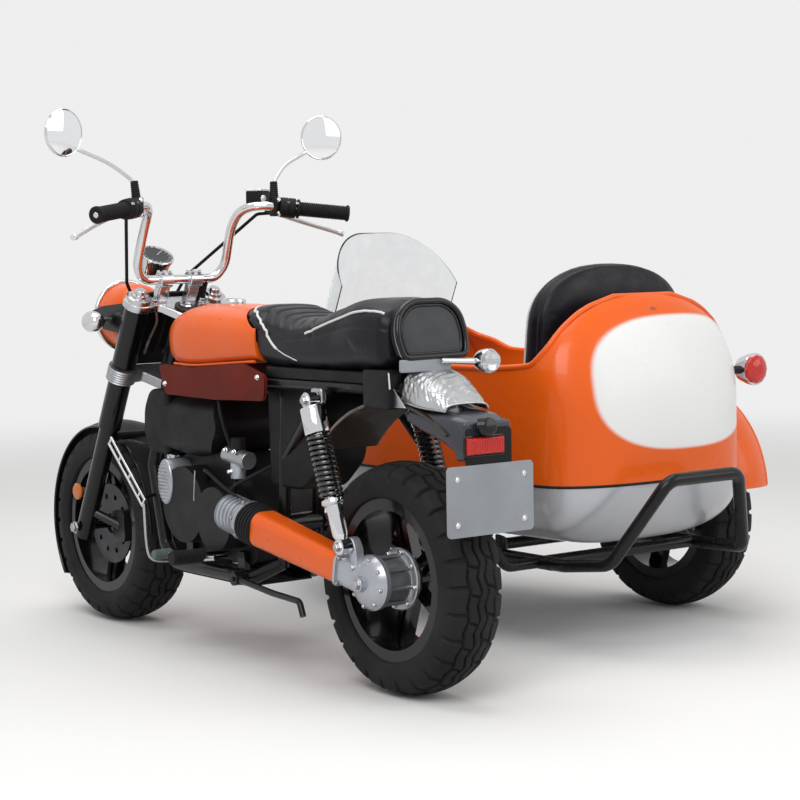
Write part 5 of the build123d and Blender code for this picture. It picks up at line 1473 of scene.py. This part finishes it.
sideways = (0, 1, 0)
hub = place(0, 0, rear_axle[2])
ring = add_turned("drive_ring", [(0.020, 0), (0.020, 0.063), (0.022, 0.0655), (0.028, 0.0655),
                                 (0.030, 0.063), (0.030, 0.056),
                                 (0.034, 0.050), (0.070, 0.046), (0.108, 0.044), (0.108, 0)], hub,
                                 sideways, "chassis",
                  cast_alloy, 64)
drive_dome = add_turned("drive_dome", [(0.088, 0), (0.088, 0.054), (0.090, 0.0575), (0.101, 0.0580),
                                       (0.104, 0.0555),
                                       (0.110, 0.052), (0.119, 0.040), (0.1235, 0.024), (0.1245, 0.017),
                                       (0.135, 0.016),
                                       (0.1365, 0.0145), (0.1365, 0)], hub, sideways, "chassis",
                                       drive_alloy, 64)
turn = np.linspace(0, 2 * np.pi, 8, endpoint=False) + 0.2
for index, (x, z) in enumerate(zip(0.0525 * np.cos(turn), 0.0525 * np.sin(turn))):
    add_rod("drive_stud_" + str(index), hub + (x, 0.029, z), hub + (x, 0.090, z), 0.0042, "chassis",
            cast_alloy,
            12)
add_bolts("drive_nuts", hub + np.stack([0.058 * np.cos(turn), 0 * turn + 0.0295, 0.058 * np.sin(turn)],
                                       -1), sideways, 0.0055,
          0.006, "chassis", bright_steel)
add_bolts("drive_cover_bolts", hub + np.stack([0.049 * np.cos(turn), 0 * turn + 0.1105,
                                               0.049 * np.sin(turn)], -1), sideways,
          0.0042, 0.005, "chassis", bright_steel)
add_bolts("drive_centre_bolt", hub + (0, 0.1365, 0), sideways, 0.010, 0.007, "chassis", bright_steel)
neck_share = np.linspace(0, 1, 14)[:, None, None]
neck_line = np.stack([box_outline(0.060, 0.060, 0.016, 64), box_outline(0.052, 0.074, 0.024, 64)])
neck_flat = neck_line[0] * (1 - neck_share) + neck_line[1] * neck_share
neck_spot = place(0.070, 0.112, 0.268) * (1 - neck_share) + place(0.004, 0.096, 0.248) * neck_share
neck = add_grid("drive_neck", neck_spot + neck_flat[..., :1] * (0, 1, 0) + neck_flat[..., 1:] * (-0.167,
                                                                                                 0, 0.986),
                "chassis", drive_alloy, wrap_columns=True, ends=True)
shaft_back = np.array([-0.986, 0, -0.167])
add_box("drive_flange", place(0.066, 0.112, 0.2675), (0.072, 0.071, 0.007), "chassis", drive_alloy,
        0.018,
        (0, 1, 0), (-0.167, 0, 0.986))
spots = np.array([(-0.028, -0.027), (0.028, -0.027), (-0.028, 0.027), (0.028, 0.027)])
spots = place(0.0625, 0.112, 0.2670) + spots[:, :1] * (0, 1, 0) + spots[:, 1:] * (-0.167, 0, 0.986)
add_bolts("drive_flange_bolts", spots, shaft_back, 0.0045, 0.005, "chassis", bright_steel)
lug_line = closed_outline([(0.010, 0.258), (0.068, 0.262), (0.060, 0.318), (0.048, 0.337), (0.031, 0.337),
                           (0.018, 0.318)],
                          0.012)
lug = add_plate("drive_shock_lug", lug_line, place(0, 0.1257, 0), (1, 0, 0), (0, 0, 1), 0.022, 0.003,
                "chassis", drive_alloy)
add_bolts("drive_lug_bolts", place([0.026, 0.054], 0.1257, [0.275, 0.279]), sideways, 0.0065, 0.006,
          "chassis", bright_steel)
pin = add_rod("rear_axle_pin", place(0, -0.134, 0.244), place(0, 0.030, 0.244), 0.010, "chassis",
              bright_steel)
for piece in (ring, drive_dome, neck, lug, pin):
    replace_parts(piece, "final_drive")
print("final drive done")

# %% [markdown]
# Each shock is a chromed can and tube on a rod, with a coil spring between. The coil is a helix: a circle
# in the two directions across the shock, while the third coordinate advances. A thin pipe follows it.
# %% Shocks with their coils
shock_top = np.array([0.147, 0, 0.615])
shock_foot = np.array([0.039, 0, 0.319])
shock_long = np.linalg.norm(shock_foot - shock_top)
shock_along = (shock_foot - shock_top) / shock_long
shock_across = np.cross(shock_along, sideways)
spin = np.linspace(0, 12 * 2 * np.pi, 12 * 22)
shock_profile = [(0.008, 0), (0.008, 0.011), (0.013, 0.017), (0.016, 0.0255), (0.019, 0.0272),
                 (0.070, 0.0272), (0.0735, 0.0262),
                 (0.0745, 0.0095), (0.2150, 0.0095), (0.2155, 0.0240), (0.2185, 0.0250), (0.2225, 0.0250),
                 (0.226, 0.0225),
                 (0.229, 0.0178), (0.290, 0.0170), (0.297, 0.0140), (0.305, 0.0100), (0.305, 0)]
for side, label in ((1, "left"), (-1, "right")):
    top, foot = place(*(shock_top + (0, side * 0.140, 0))), place(*(shock_foot + (0, side * 0.140, 0)))
    body = add_turned("shock_body_" + label, shock_profile, top, shock_along, "chassis", chrome)
    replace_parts(body, "shock_bodies")
    coil = (top + shock_along * np.linspace(0.0785, 0.2115, len(spin))[:, None] + 0.0222 * np.cos(spin)[:,
                                                                                                        None] * shock_across
            + 0.0222 * np.sin(spin)[:, None] * np.array(sideways))
    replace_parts(add_pipe("shock_coil_" + label, coil, 0.0041, "chassis", spring_black,
                         8), "shock_springs")
    for spot, part in ((top, "upper"), (foot, "lower")):
        eye = add_turned("shock_eye_" + part + "_" + label,
                         [(-0.014, 0), (-0.014, 0.0145), (-0.012, 0.017), (0.012, 0.017),
                                                             (0.014, 0.0145), (0.014, 0)], spot, sideways,
                                                             "chassis", chrome)
        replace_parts(eye, "shock_bodies")
        add_bolts("shock_bolt_" + part + "_" + label, spot + (0, side * 0.014, 0), (0, side, 0), 0.0085,
                  0.008, "chassis",
                  bright_steel)
front_line = closed_outline([(0.790, 0.450), (0.880, 0.455), (0.904, 0.500), (0.900, 0.560),
                             (0.872, 0.605), (0.790, 0.606)],
                            0.020)
add_plate("engine_front_cover", front_line, place(0, 0.104, 0), (1, 0, 0), (0, 0, 1), 0.208, 0.010,
          "chassis", black_plastic)
add_plate("seat_pan", box_outline(0.440, 0.196, 0.030), place(0.175, 0, 0.652), (1, 0, 0), (0, 1, 0),
          0.024, 0.004, "chassis",
          black_plastic)
for side, label in ((1, "left"), (-1, "right")):
    add_box("shock_bracket_" + label, place(0.150, side * 0.117, 0.622), (0.040, 0.034, 0.014), "chassis",
            bright_steel, 0.008)
print("shock coils:", 12, "turns of", len(spin), "points")

# %% [markdown]
# ## Around the engine
# Behind the engine a black air box fills the space under the seat. The engine's left side carries small
# bright things: a ribbed gearbox cover, a ribbed oval, a wedge on the cylinder, the carburettor and a
# leg guard like a ladder. None needs more than rods, plates and turned forms at the right places.
# %% Air box, gearbox cover, carburettor and leg guard
air_line = closed_outline([(0.222, 0.470), (0.300, 0.405), (0.430, 0.405), (0.436, 0.640), (0.235, 0.648),
                           (0.205, 0.560)],
                          0.025)
add_plate("air_box", air_line, place(0, 0.058, 0), (1, 0, 0), (0, 0, 1), 0.116, 0.008, "chassis",
          black_plastic)
shaft_ahead = -shaft_back
case_at = np.linspace(0.0005, 0.088, 80)
case_out = 0.0395 + 0.0035 * (np.sin(case_at * 2 * np.pi / 0.0145) > 0.2) * (case_at > 0.018) + 0.007 * (case_at < 0.012)
case_line = np.concatenate([[(0.0005, 0)], np.stack([case_at, case_out], -1), [(0.088, 0)]])
case = add_turned("gearbox_cover", case_line, place(0.424, 0.112, 0.329), shaft_ahead, "chassis",
                  drive_alloy, 64)
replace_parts(case, "gearbox_output")
turn = np.linspace(0, 2 * np.pi, 6, endpoint=False) + 0.3
gear_up = np.cross(shaft_ahead, sideways)
spots = (place(0.424, 0.112, 0.329) + shaft_ahead * 0.0125 + 0.043 * np.cos(turn)[:, None] * gear_up
         + 0.043 * np.sin(turn)[:, None] * np.array(sideways))
add_bolts("gearbox_bolts", spots, shaft_ahead, 0.0045, 0.010, "chassis", bright_steel)
oval_turn, oval_out = np.meshgrid(np.linspace(0, 2 * np.pi, 72, endpoint=False),
                                  np.append(1, np.linspace(1, 0, 24)),
                                  indexing="ij")
oval_z = 0.053 * oval_out * np.sin(oval_turn)
oval_rise = 0.1235 + 0.009 * np.sqrt(1 - oval_out ** 2) + 0.0016 * np.sin(oval_z * 2 * np.pi / 0.0080) * (oval_out < 0.93)
oval_rise[:, 0] = 0.062
add_grid("case_oval", place(0.772 + 0.031 * oval_out * np.cos(oval_turn), oval_rise, 0.393 + oval_z),
         "chassis", drive_alloy,
         wrap_rows=True)
wedge = closed_outline([(0.905, 0.455), (0.806, 0.448), (0.846, 0.416)], 0.006, 60)
add_plate("cylinder_wedge", wedge, place(0, 0.0745, 0), (1, 0, 0), (0, 0, 1), 0.0135, 0.001, "chassis",
          chrome)
add_rod("carburettor", place(0.570, 0.078, 0.468), place(0.482, 0.078, 0.458), 0.020, "chassis",
        cast_alloy)
add_rod("carburettor_cap", place(0.526, 0.078, 0.478), place(0.526, 0.078, 0.508), 0.0165, "chassis",
        black_plastic)
add_rod("carburettor_bowl", place(0.526, 0.078, 0.452), place(0.526, 0.078, 0.416), 0.0185, "chassis",
        drive_alloy)
add_bolts("carburettor_bolts", place([0.548, 0.512, 0.530], [0.096, 0.096, 0.0965],
                                     [0.480, 0.478, 0.432]), sideways, 0.005,
          0.008, "chassis", chrome)
for label, line in (("fuel", [(0.540, 0.080, 0.470), (0.545, 0.100, 0.520), (0.560, 0.108, 0.590),
                              (0.575, 0.080, 0.672)]),
                    ("drain", [(0.528, 0.082, 0.420), (0.520, 0.104, 0.370), (0.500, 0.118, 0.400),
                               (0.425, 0.050, 0.452)]),
                    ("breather", [(0.640, 0.085, 0.405), (0.600, 0.128, 0.440), (0.520, 0.118, 0.395),
                                  (0.455, 0.112, 0.372)])):
    tube = resample(rounded(np.array(line), 0.03, 8), 40)
    add_pipe("hose_" + label, place(*tube.T), 0.0042, "chassis", soft_rubber, 10)
for side, label in ((1, "left"), (-1, "right")):
    add_pipe("case_edge_" + label, place([0.642, 0.646, 0.650], side * 0.1222, [0.428, 0.395, 0.358]),
             0.0016, "chassis",
             bright_steel, 8)
    peg_at = np.linspace(0.0005, 0.082, 90)
    peg_out = 0.0152 + 0.0016 * (np.sin(peg_at * 2 * np.pi / 0.0082) > 0)
    peg = np.concatenate([[(0, 0)], np.stack([peg_at, peg_out], -1), [(0.0825, 0)]])
    add_turned("peg_rubber_" + label, peg, place(0.600, side * 0.1335, 0.238), (0, side, 0.024),
               "chassis", soft_rubber)
    toe = np.concatenate([[(0, 0)], np.stack([peg_at * 0.55, peg_out - 0.005], -1), [(0.046, 0)]])
    add_turned("toe_rubber_" + label, toe, place(0.720, side * 0.146, 0.232), (0, side, 0), "chassis",
               peg_grey, 32)
guard_high, guard_low = np.array([0.984, 0.150, 0.478]), np.array([0.828, 0.150, 0.338])
guard_wide = np.array([-0.006, 0, 0.0075])
for label, sense in (("upper", 1), ("lower", -1)):
    add_rod("leg_guard_rail_" + label, place(*(guard_high + sense * guard_wide)),
            place(*(guard_low + sense * guard_wide)), 0.0032,
            "chassis", chrome, 12)
for index, share in enumerate((0.02, 0.30, 0.58, 0.86, 0.98)):
    spot = guard_high + (guard_low - guard_high) * share
    add_rod("leg_guard_rung_" + str(index), place(*(spot - guard_wide)), place(*(spot + guard_wide)),
            0.0030, "chassis", chrome,
            12)
for label, line in (("top", [(0.975, 0.150, 0.470), (0.925, 0.120, 0.480), (0.886, 0.062, 0.450)]),
                    ("middle", [(0.842, 0.150, 0.350), (0.862, 0.110, 0.352), (0.874, 0.062, 0.352)]),
                    ("foot", [(0.828, 0.150, 0.338), (0.822, 0.150, 0.250), (0.816, 0.146, 0.204),
                              (0.805, 0.062, 0.196)])):
    bent = resample(rounded(np.array(line), 0.03, 8), 30)
    add_pipe("leg_guard_" + label, place(*bent.T), 0.0042, "chassis",
             bright_steel if label == "foot" else black_paint, 12)
for name, y in (("left", 0.134), ("right", -0.134)):
    add_bolts("rear_axle_nut_" + name, place(0, y if y < 0 else 0.0205, 0.244), (0, np.sign(y), 0), 0.013,
              0.009, "chassis",
              bright_steel)
print("engine trim done")

# %% [markdown]
# ## The head
# Everything here turns with the fork, so places are given along it: ahead, across and up from the front
# axle. The bar's outer ends carry ribbed grips, round switch housings, blade levers and the mirrors.
# Ribs are a sine added to a turned profile, and a lever is a flattened pipe that swells at its tip.
# %% Grips, switches, levers and mirrors
fork_up = np.array(joints["steering"]["axis"], float)
fork_ahead = np.array([fork_up[2], 0, -fork_up[0]])


def on_fork(ahead, across, up):
    """A place given along the fork from the front axle."""
    return front_axle + ahead * fork_ahead + np.array([0, across, 0]) + up * fork_up


bar_centre = on_fork(0.006, 0, 0.703)
bar_half = np.array([(0.006, 0.100, -0.012), (-0.006, 0.123, 0.020), (-0.040, 0.120, 0.110),
                     (-0.072, 0.125, 0.150),
                     (-0.111, 0.152, 0.162), (-0.214, 0.338, 0.139)])
bar_line = np.concatenate([bar_half[::-1] * (1, -1, 1), bar_half])
bar_line = bar_centre + resample(rounded(bar_line, 0.035, 10), 220)
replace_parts(add_pipe("handlebar_tube", bar_line, 0.0112, "steering", chrome, 20), "handlebar")
rib_at = np.linspace(0.002, 0.112, 150)
grip_profile = np.concatenate([[(-0.0075, 0), (-0.0075, 0.017), (-0.005, 0.0198), (-0.001, 0.0198),
                                (0.001, 0.0172)],
                               np.stack([rib_at, 0.0170 + 0.0009 * np.sin(rib_at * 2 * np.pi / 0.0055)], -1),
                               [(0.1135, 0.0225), (0.118, 0.023), (0.1200, 0.0205), (0.1200, 0)]])
switch_profile = [(0.1220, 0), (0.1220, 0.021), (0.1240, 0.0238), (0.1390, 0.0243), (0.1395, 0.0228),
                  (0.1415, 0.0228),
                  (0.1420, 0.0243), (0.1575, 0.0238), (0.1600, 0.021), (0.1600, 0)]
mirror_profile = [(-0.0140, 0), (-0.0135, 0.020), (-0.0100, 0.036), (-0.0040, 0.048), (0.0010, 0.0532),
                  (0.0055, 0.054),
                  (0.0075, 0.0522), (0.0070, 0.0505), (0.0060, 0.0503), (0.0060, 0)]
for side, label in ((1, "left"), (-1, "right")):
    bar_end = bar_centre + (-0.214, side * 0.338, 0.139)
    inward = bar_centre + (-0.111, side * 0.152, 0.162) - bar_end
    inward /= np.linalg.norm(inward)
    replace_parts(add_turned("grip_" + label, grip_profile, bar_end, inward, "steering", soft_rubber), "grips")
    add_rod("grip_dot_" + label, bar_end - inward * 0.0070, bar_end - inward * 0.0095, 0.0065, "steering",
            chrome)
    switch = add_turned("switch_" + label, switch_profile, bar_end, inward, "steering", black_plastic)
    for index, far in enumerate((0.130, 0.150)):
        spot = bar_end + inward * far + (-0.0195, 0, 0.010)
        add_box("switch_button_" + label + "_" + str(index), spot, (0.009, 0.007, 0.010), "steering",
                peg_grey if index else bright_steel, 0.002, (0, -1, 0), (0.45, 0, 0.89))
    pivot = bar_end + inward * 0.166 + (0.022, 0, 0)
    blade = pivot + np.array([(0, 0, 0), (0.026, 0.014, -0.010), (0.004, 0.090, -0.036),
                              (-0.046, 0.177, -0.067)]) * (1, side, 1)
    blade = resample(rounded(blade, 0.02, 8), 60)
    swell_out = 0.0078 + 0.0022 * np.exp(-((np.linspace(0, 1, 60) - 0.97) / 0.03) ** 2)
    lever = add_pipe("lever_" + label, blade, swell_out, "steering", white_lever, 14, 0.8)
    add_box("lever_mount_" + label, pivot + (0.004, 0, -0.002), (0.030, 0.022, 0.024), "steering",
            black_plastic,
            0.005)
    add_bolts("lever_bolt_" + label, pivot + (0.010, side * 0.004, 0.0095), (0, 0, 1), 0.005, 0.004,
              "steering", chrome)
    glass_at = bar_centre + (-0.091, side * 0.354, 0.326)
    facing = (-1, -side * 0.22, -0.05)
    shell = add_turned("mirror_" + label, mirror_profile, glass_at, facing, "steering", chrome, 64)
    add_turned("mirror_glass_" + label, [(0.0058, 0), (0.0058, 0.0500), (0.0066, 0.0500),
                                         (0.0070, 0.0490), (0.0072, 0)],
               glass_at, facing, "steering", mirror_glass, 64)
    add_box("lever_clamp_" + label, bar_end + inward * 0.171, (0.019, 0.046, 0.030), "steering",
            black_plastic,
            0.005, sideways, (0, 0, 1))
    add_bolts("lever_clamp_bolts_" + label, bar_end + inward * 0.171 + np.array([(-0.015, 0, 0.016),
                                                                                 (-0.015, 0, -0.016)]),
              (-1, 0, 0), 0.0048, 0.004, "steering", chrome)
    base = bar_end + inward * 0.171 + (0.004, 0, 0.020)
    stem = np.array([base, base + (0.004, side * 0.002, 0.038), base + (0.030, side * 0.052, 0.082),
                     glass_at + (0.010, -side * 0.034, -0.034), glass_at + (0.008, -side * 0.006, -0.008)])
    stem = add_pipe("mirror_stem_" + label, resample(rounded(stem, 0.03, 8), 70), 0.0048, "steering",
                    chrome, 14)
    sleeve_at = np.linspace(0.0005, 0.040, 60)
    sleeve_out = 0.0105 - 0.04 * sleeve_at + 0.0006 * np.sin(sleeve_at * 2 * np.pi / 0.005)
    sleeve = np.concatenate([[(0, 0)], np.stack([sleeve_at, sleeve_out], -1), [(0.0405, 0)]])
    add_turned("mirror_sleeve_" + label, sleeve, base, (0.004, side * 0.002, 0.038), "steering",
               soft_rubber, 32)
    for piece, node in ((switch, "controls"), (lever, "controls"), (shell, "mirrors"), (stem, "mirrors")):
        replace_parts(piece, node)
box_along = np.array([-inward[1], -inward[0], 0]) / np.hypot(*inward[:2])
box_across = np.cross((0, 0, 1), box_along)
box_spot = pivot + inward * 0.026 + (0.014, 0, 0.002)
reservoir = add_plate("fluid_box", box_outline(0.042, 0.056, 0.008), box_spot, box_along, box_across,
                      0.034, 0.003, "steering",
                      black_plastic)
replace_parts(reservoir, "controls")
add_plate("fluid_box_lid", box_outline(0.045, 0.059, 0.008), box_spot + (0, 0, 0.034), box_along,
          box_across, 0.005, 0.0015,
          "steering", white_lever)
add_rod("fluid_box_window", box_spot + (-0.024, 0.004, 0.016), box_spot + (-0.0295, 0.004, 0.016), 0.008,
        "steering", white_lever)
print("bar ends done")

# %% [markdown]
# The top yoke carries the bar in two round clamps, the fork's caps, the key switch and a speedometer that
# looks up at the rider. The dial stays plain: a ring of marks and a needle, with no figures. The headlamp
# keeps its CAD bucket and gets a rim and a reflector. The signals are turned bullets on stalks.
# %% Yoke, speedometer and lamps
yoke_corners = np.array([(0.136, 0.018), (0.118, 0.033), (0.088, 0.033), (0.066, 0.020), (-0.066, 0.020),
                         (-0.088, 0.033),
                         (-0.118, 0.033), (-0.136, 0.018), (-0.136, -0.012), (-0.118, -0.033),
                         (-0.088, -0.033),
                         (-0.060, -0.018), (-0.030, -0.024), (-0.018, -0.040), (0.018, -0.040),
                         (0.030, -0.024),
                         (0.060, -0.018), (0.088, -0.033), (0.118, -0.033), (0.136, -0.012)])
steer_back = (np.array(joints["steering"]["pos_m"]) - front_axle) @ fork_ahead
lobe = np.radians(np.linspace(205, 335, 9))
yoke_corners = np.concatenate([yoke_corners[:12], np.stack([0.036 * np.cos(lobe),
                                                            steer_back + 0.036 * np.sin(lobe)], -1),
                               yoke_corners[16:]])
print("steering axis behind the fork by", round(-steer_back, 4))
for label, up, thick, metal in (("top", 0.6175, 0.020, polished_alloy), ("lower", 0.427, 0.026, cast_alloy)):
    yoke = add_plate("yoke_" + label, closed_outline(yoke_corners, 0.014, 200), on_fork(0, 0, up),
                     (0, -1, 0), fork_ahead, thick,
                     0.004, "steering", metal)
    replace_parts(yoke, "yokes")
for side, label in ((1, "left"), (-1, "right")):
    spot = bar_centre + (0.006, side * 0.041, -0.012)
    riser = add_plate("riser_" + label, box_outline(0.030, 0.026, 0.006, 60),
                      on_fork(0.006, side * 0.041, 0.635), (0, -1, 0),
                      fork_ahead, 0.044, 0.003, "steering", polished_alloy)
    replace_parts(riser, "yokes")
    ear = closed_outline(np.array([(0.981, 0.732), (0.945, 0.808), (1.070, 0.798), (1.127, 0.784),
                                   (1.127, 0.755),
                                   (1.070, 0.742)]) * (side, 1), 0.008, 80)
    add_plate("lamp_ear_" + label, ear, place(0, side * 0.1140, 0), (side, 0, 0), (0, 0, 1), 0.0034,
              0.001, "steering",
              black_paint)
    add_turned("bar_clamp_" + label, [(-0.018, 0), (-0.018, 0.017), (-0.016, 0.0195), (0.016, 0.0195),
                                      (0.018, 0.017),
                                      (0.018, 0)], spot, sideways, "steering", polished_alloy)
    add_bolts("bar_clamp_bolts_" + label, spot + np.array([(0.012, 0.009, 0.0165), (0.012, -0.009, 0.0165),
                                                           (-0.013, 0.009, 0.0160),
                                                           (-0.013, -0.009, 0.0160)]),
              (0, 0, 1), 0.0042, 0.006, "steering", chrome)
    add_turned("fork_cap_" + label, [(-0.007, 0), (-0.007, 0.0310), (0.004, 0.0310), (0.005, 0.0275),
                                     (0.006, 0.021), (0.012, 0.0205), (0.013, 0.0135),
                                     (0.022, 0.0130), (0.0235, 0.0115), (0.0235, 0)],
                                     on_fork(0, side * 0.103, 0.6440), fork_up,
               "steering", polished_alloy)
    band_at = np.linspace(0, 0.036, 60)
    band_out = 0.0345 + 0.0012 * np.sin(band_at * 2 * np.pi / 0.006)
    band = np.concatenate([[(0, 0)], np.stack([band_at, band_out], -1), [(0.036, 0)]])
    add_turned("clamp_band_" + label, band, on_fork(0, side * 0.103, 0.4225), fork_up, "steering",
               cast_alloy)
    add_bolts("front_axle_nut_" + label, front_axle + (0, side * 0.1335, 0), (0, side, 0), 0.012, 0.010,
              "steering",
              bright_steel)
add_bolts("stem_nut", on_fork(steer_back, 0, 0.6372), fork_up, 0.015, 0.014, "steering", chrome)
add_bolts("yoke_bolts", [on_fork(-0.012, side * 0.066, 0.6372) for side in (-1, 1)], fork_up, 0.007,
          0.010, "steering", chrome)
add_rod("key_switch", on_fork(0.008, -0.070, 0.636), on_fork(0.008, -0.070, 0.690), 0.013, "steering",
        black_plastic)
dial_spot = on_fork(0.108, 0.010, 0.701)
dial_facing = np.array([-0.522, 0, 0.853])
dial_rise = np.cross(dial_facing, sideways)
clock = add_turned("speedometer_case", [(-0.044, 0), (-0.044, 0.029), (-0.040, 0.036), (-0.010, 0.0395),
                                        (-0.004, 0.0425),
                                        (0.002, 0.0430), (0.0042, 0.0415), (0.0042, 0.0390),
                                        (0.0012, 0.0378), (0.0010, 0)],
                   dial_spot, dial_facing, "steering", chrome, 64)
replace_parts(clock, "speedometer")
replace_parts(add_rod("speedometer_post", dial_spot - dial_facing * 0.042, on_fork(0.012, 0.010, 0.628),
                    0.009, "steering",
                    black_paint), "speedometer")
add_turned("speedometer_face", [(0.0008, 0), (0.0008, 0.0372), (0.0016, 0.0370), (0.0018, 0)], dial_spot,
           dial_facing,
           "steering", plate_shade, 64)
turn = np.radians(np.linspace(-40, 220, 14))
ticks = np.stack([np.cos(turn), np.sin(turn)], -1)
for index, (y, z) in enumerate(ticks):
    out = y * np.array(sideways) + z * dial_rise
    add_rod("speedometer_mark_" + str(index), dial_spot + dial_facing * 0.0018 + out * 0.029,
            dial_spot + dial_facing * 0.0018 + out * 0.0345, 0.0006, "steering", piping_white,
            6, 0.0002)
add_rod("speedometer_needle", dial_spot + dial_facing * 0.0026,
        dial_spot + dial_facing * 0.0026 + out * 0.026, 0.0008,
        "steering", piping_white, 6, 0.0003)
add_plate("wiring_cover", box_outline(0.138, 0.196, 0.020), on_fork(0.036, 0, 0.545), (0, -1, 0), fork_up,
          0.010, 0.003,
          "steering", black_plastic)
for index, across in enumerate((-0.044, -0.018, 0.012, 0.040)):
    wire = [on_fork(0.028, across, 0.612), on_fork(0.006, across * 0.8, 0.580),
            on_fork(0.008, across * 1.1, 0.520),
            on_fork(0.026, across * 0.9, 0.478)]
    add_pipe("head_wire_" + str(index), resample(rounded(np.array(wire), 0.02, 8), 40), 0.0035, "steering",
             bead_brown if index % 2 else soft_rubber, 8)
lamp = on_fork(0.194, 0, 0.491)
turn = np.linspace(0, 2 * np.pi, 120, endpoint=False)
rim_circle = lamp + np.stack([0 * turn + 0.002, 0.0845 * np.cos(turn), 0.0845 * np.sin(turn)], -1)
add_grid("headlamp_rim", ring_along(rim_circle, 0.0060, 12), "steering", chrome, wrap_rows=True,
         wrap_columns=True)
add_turned("headlamp_reflector", [(0.0005, 0), (0.0005, 0.080), (0.0015, 0.080), (0.0020, 0.040),
                                  (0.0050, 0.019),
                                  (0.0120, 0.017), (0.0130, 0)], lamp, (1, 0, 0), "steering", chrome,
                                  64)
bullet = [(-0.028, 0), (-0.0275, 0.008), (-0.022, 0.0165), (-0.012, 0.0225), (0.002, 0.0250),
          (0.014, 0.0255), (0.016, 0.0243),
          (0.016, 0)]
bullet_lens = [(0.0155, 0), (0.0155, 0.0236), (0.020, 0.0232), (0.027, 0.0175), (0.030, 0.0090), (0.0305, 0)]
for name, spot, facing, body, glass, reach, node in (
        ("front_signal_left", lamp + (-0.106, 0.150, -0.008), 1, "steering", smoke_lens, -0.040,
         "front_signals"),
        ("front_signal_right", lamp + (-0.106, -0.150, -0.008), 1, "steering", smoke_lens, 0.040,
         "front_signals"),
        ("rear_signal_bullet", place(-0.118, -0.116, 0.694), -1, "chassis", clear_lens, 0.112,
         "rear_signal")):
    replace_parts(add_turned(name, bullet, spot, (facing, 0, 0), body, chrome), node)
    add_turned(name + "_lens", bullet_lens, spot, (facing, 0, 0), body, glass)
    add_rod(name + "_stalk", spot, spot + (0.004, reach, 0.006), 0.0058, body, chrome)
reflector_spot = place(1.219, 0.1125, 0.331)
add_box("reflector_bracket", place(1.186, 0.1105, 0.331), (0.080, 0.024, 0.004), "steering", black_paint,
        0.006)
add_turned("side_reflector", [(0, 0), (0, 0.0205), (0.004, 0.0205), (0.007, 0.017), (0.008, 0)],
           reflector_spot, sideways,
           "steering", amber_lens)
print("head done")
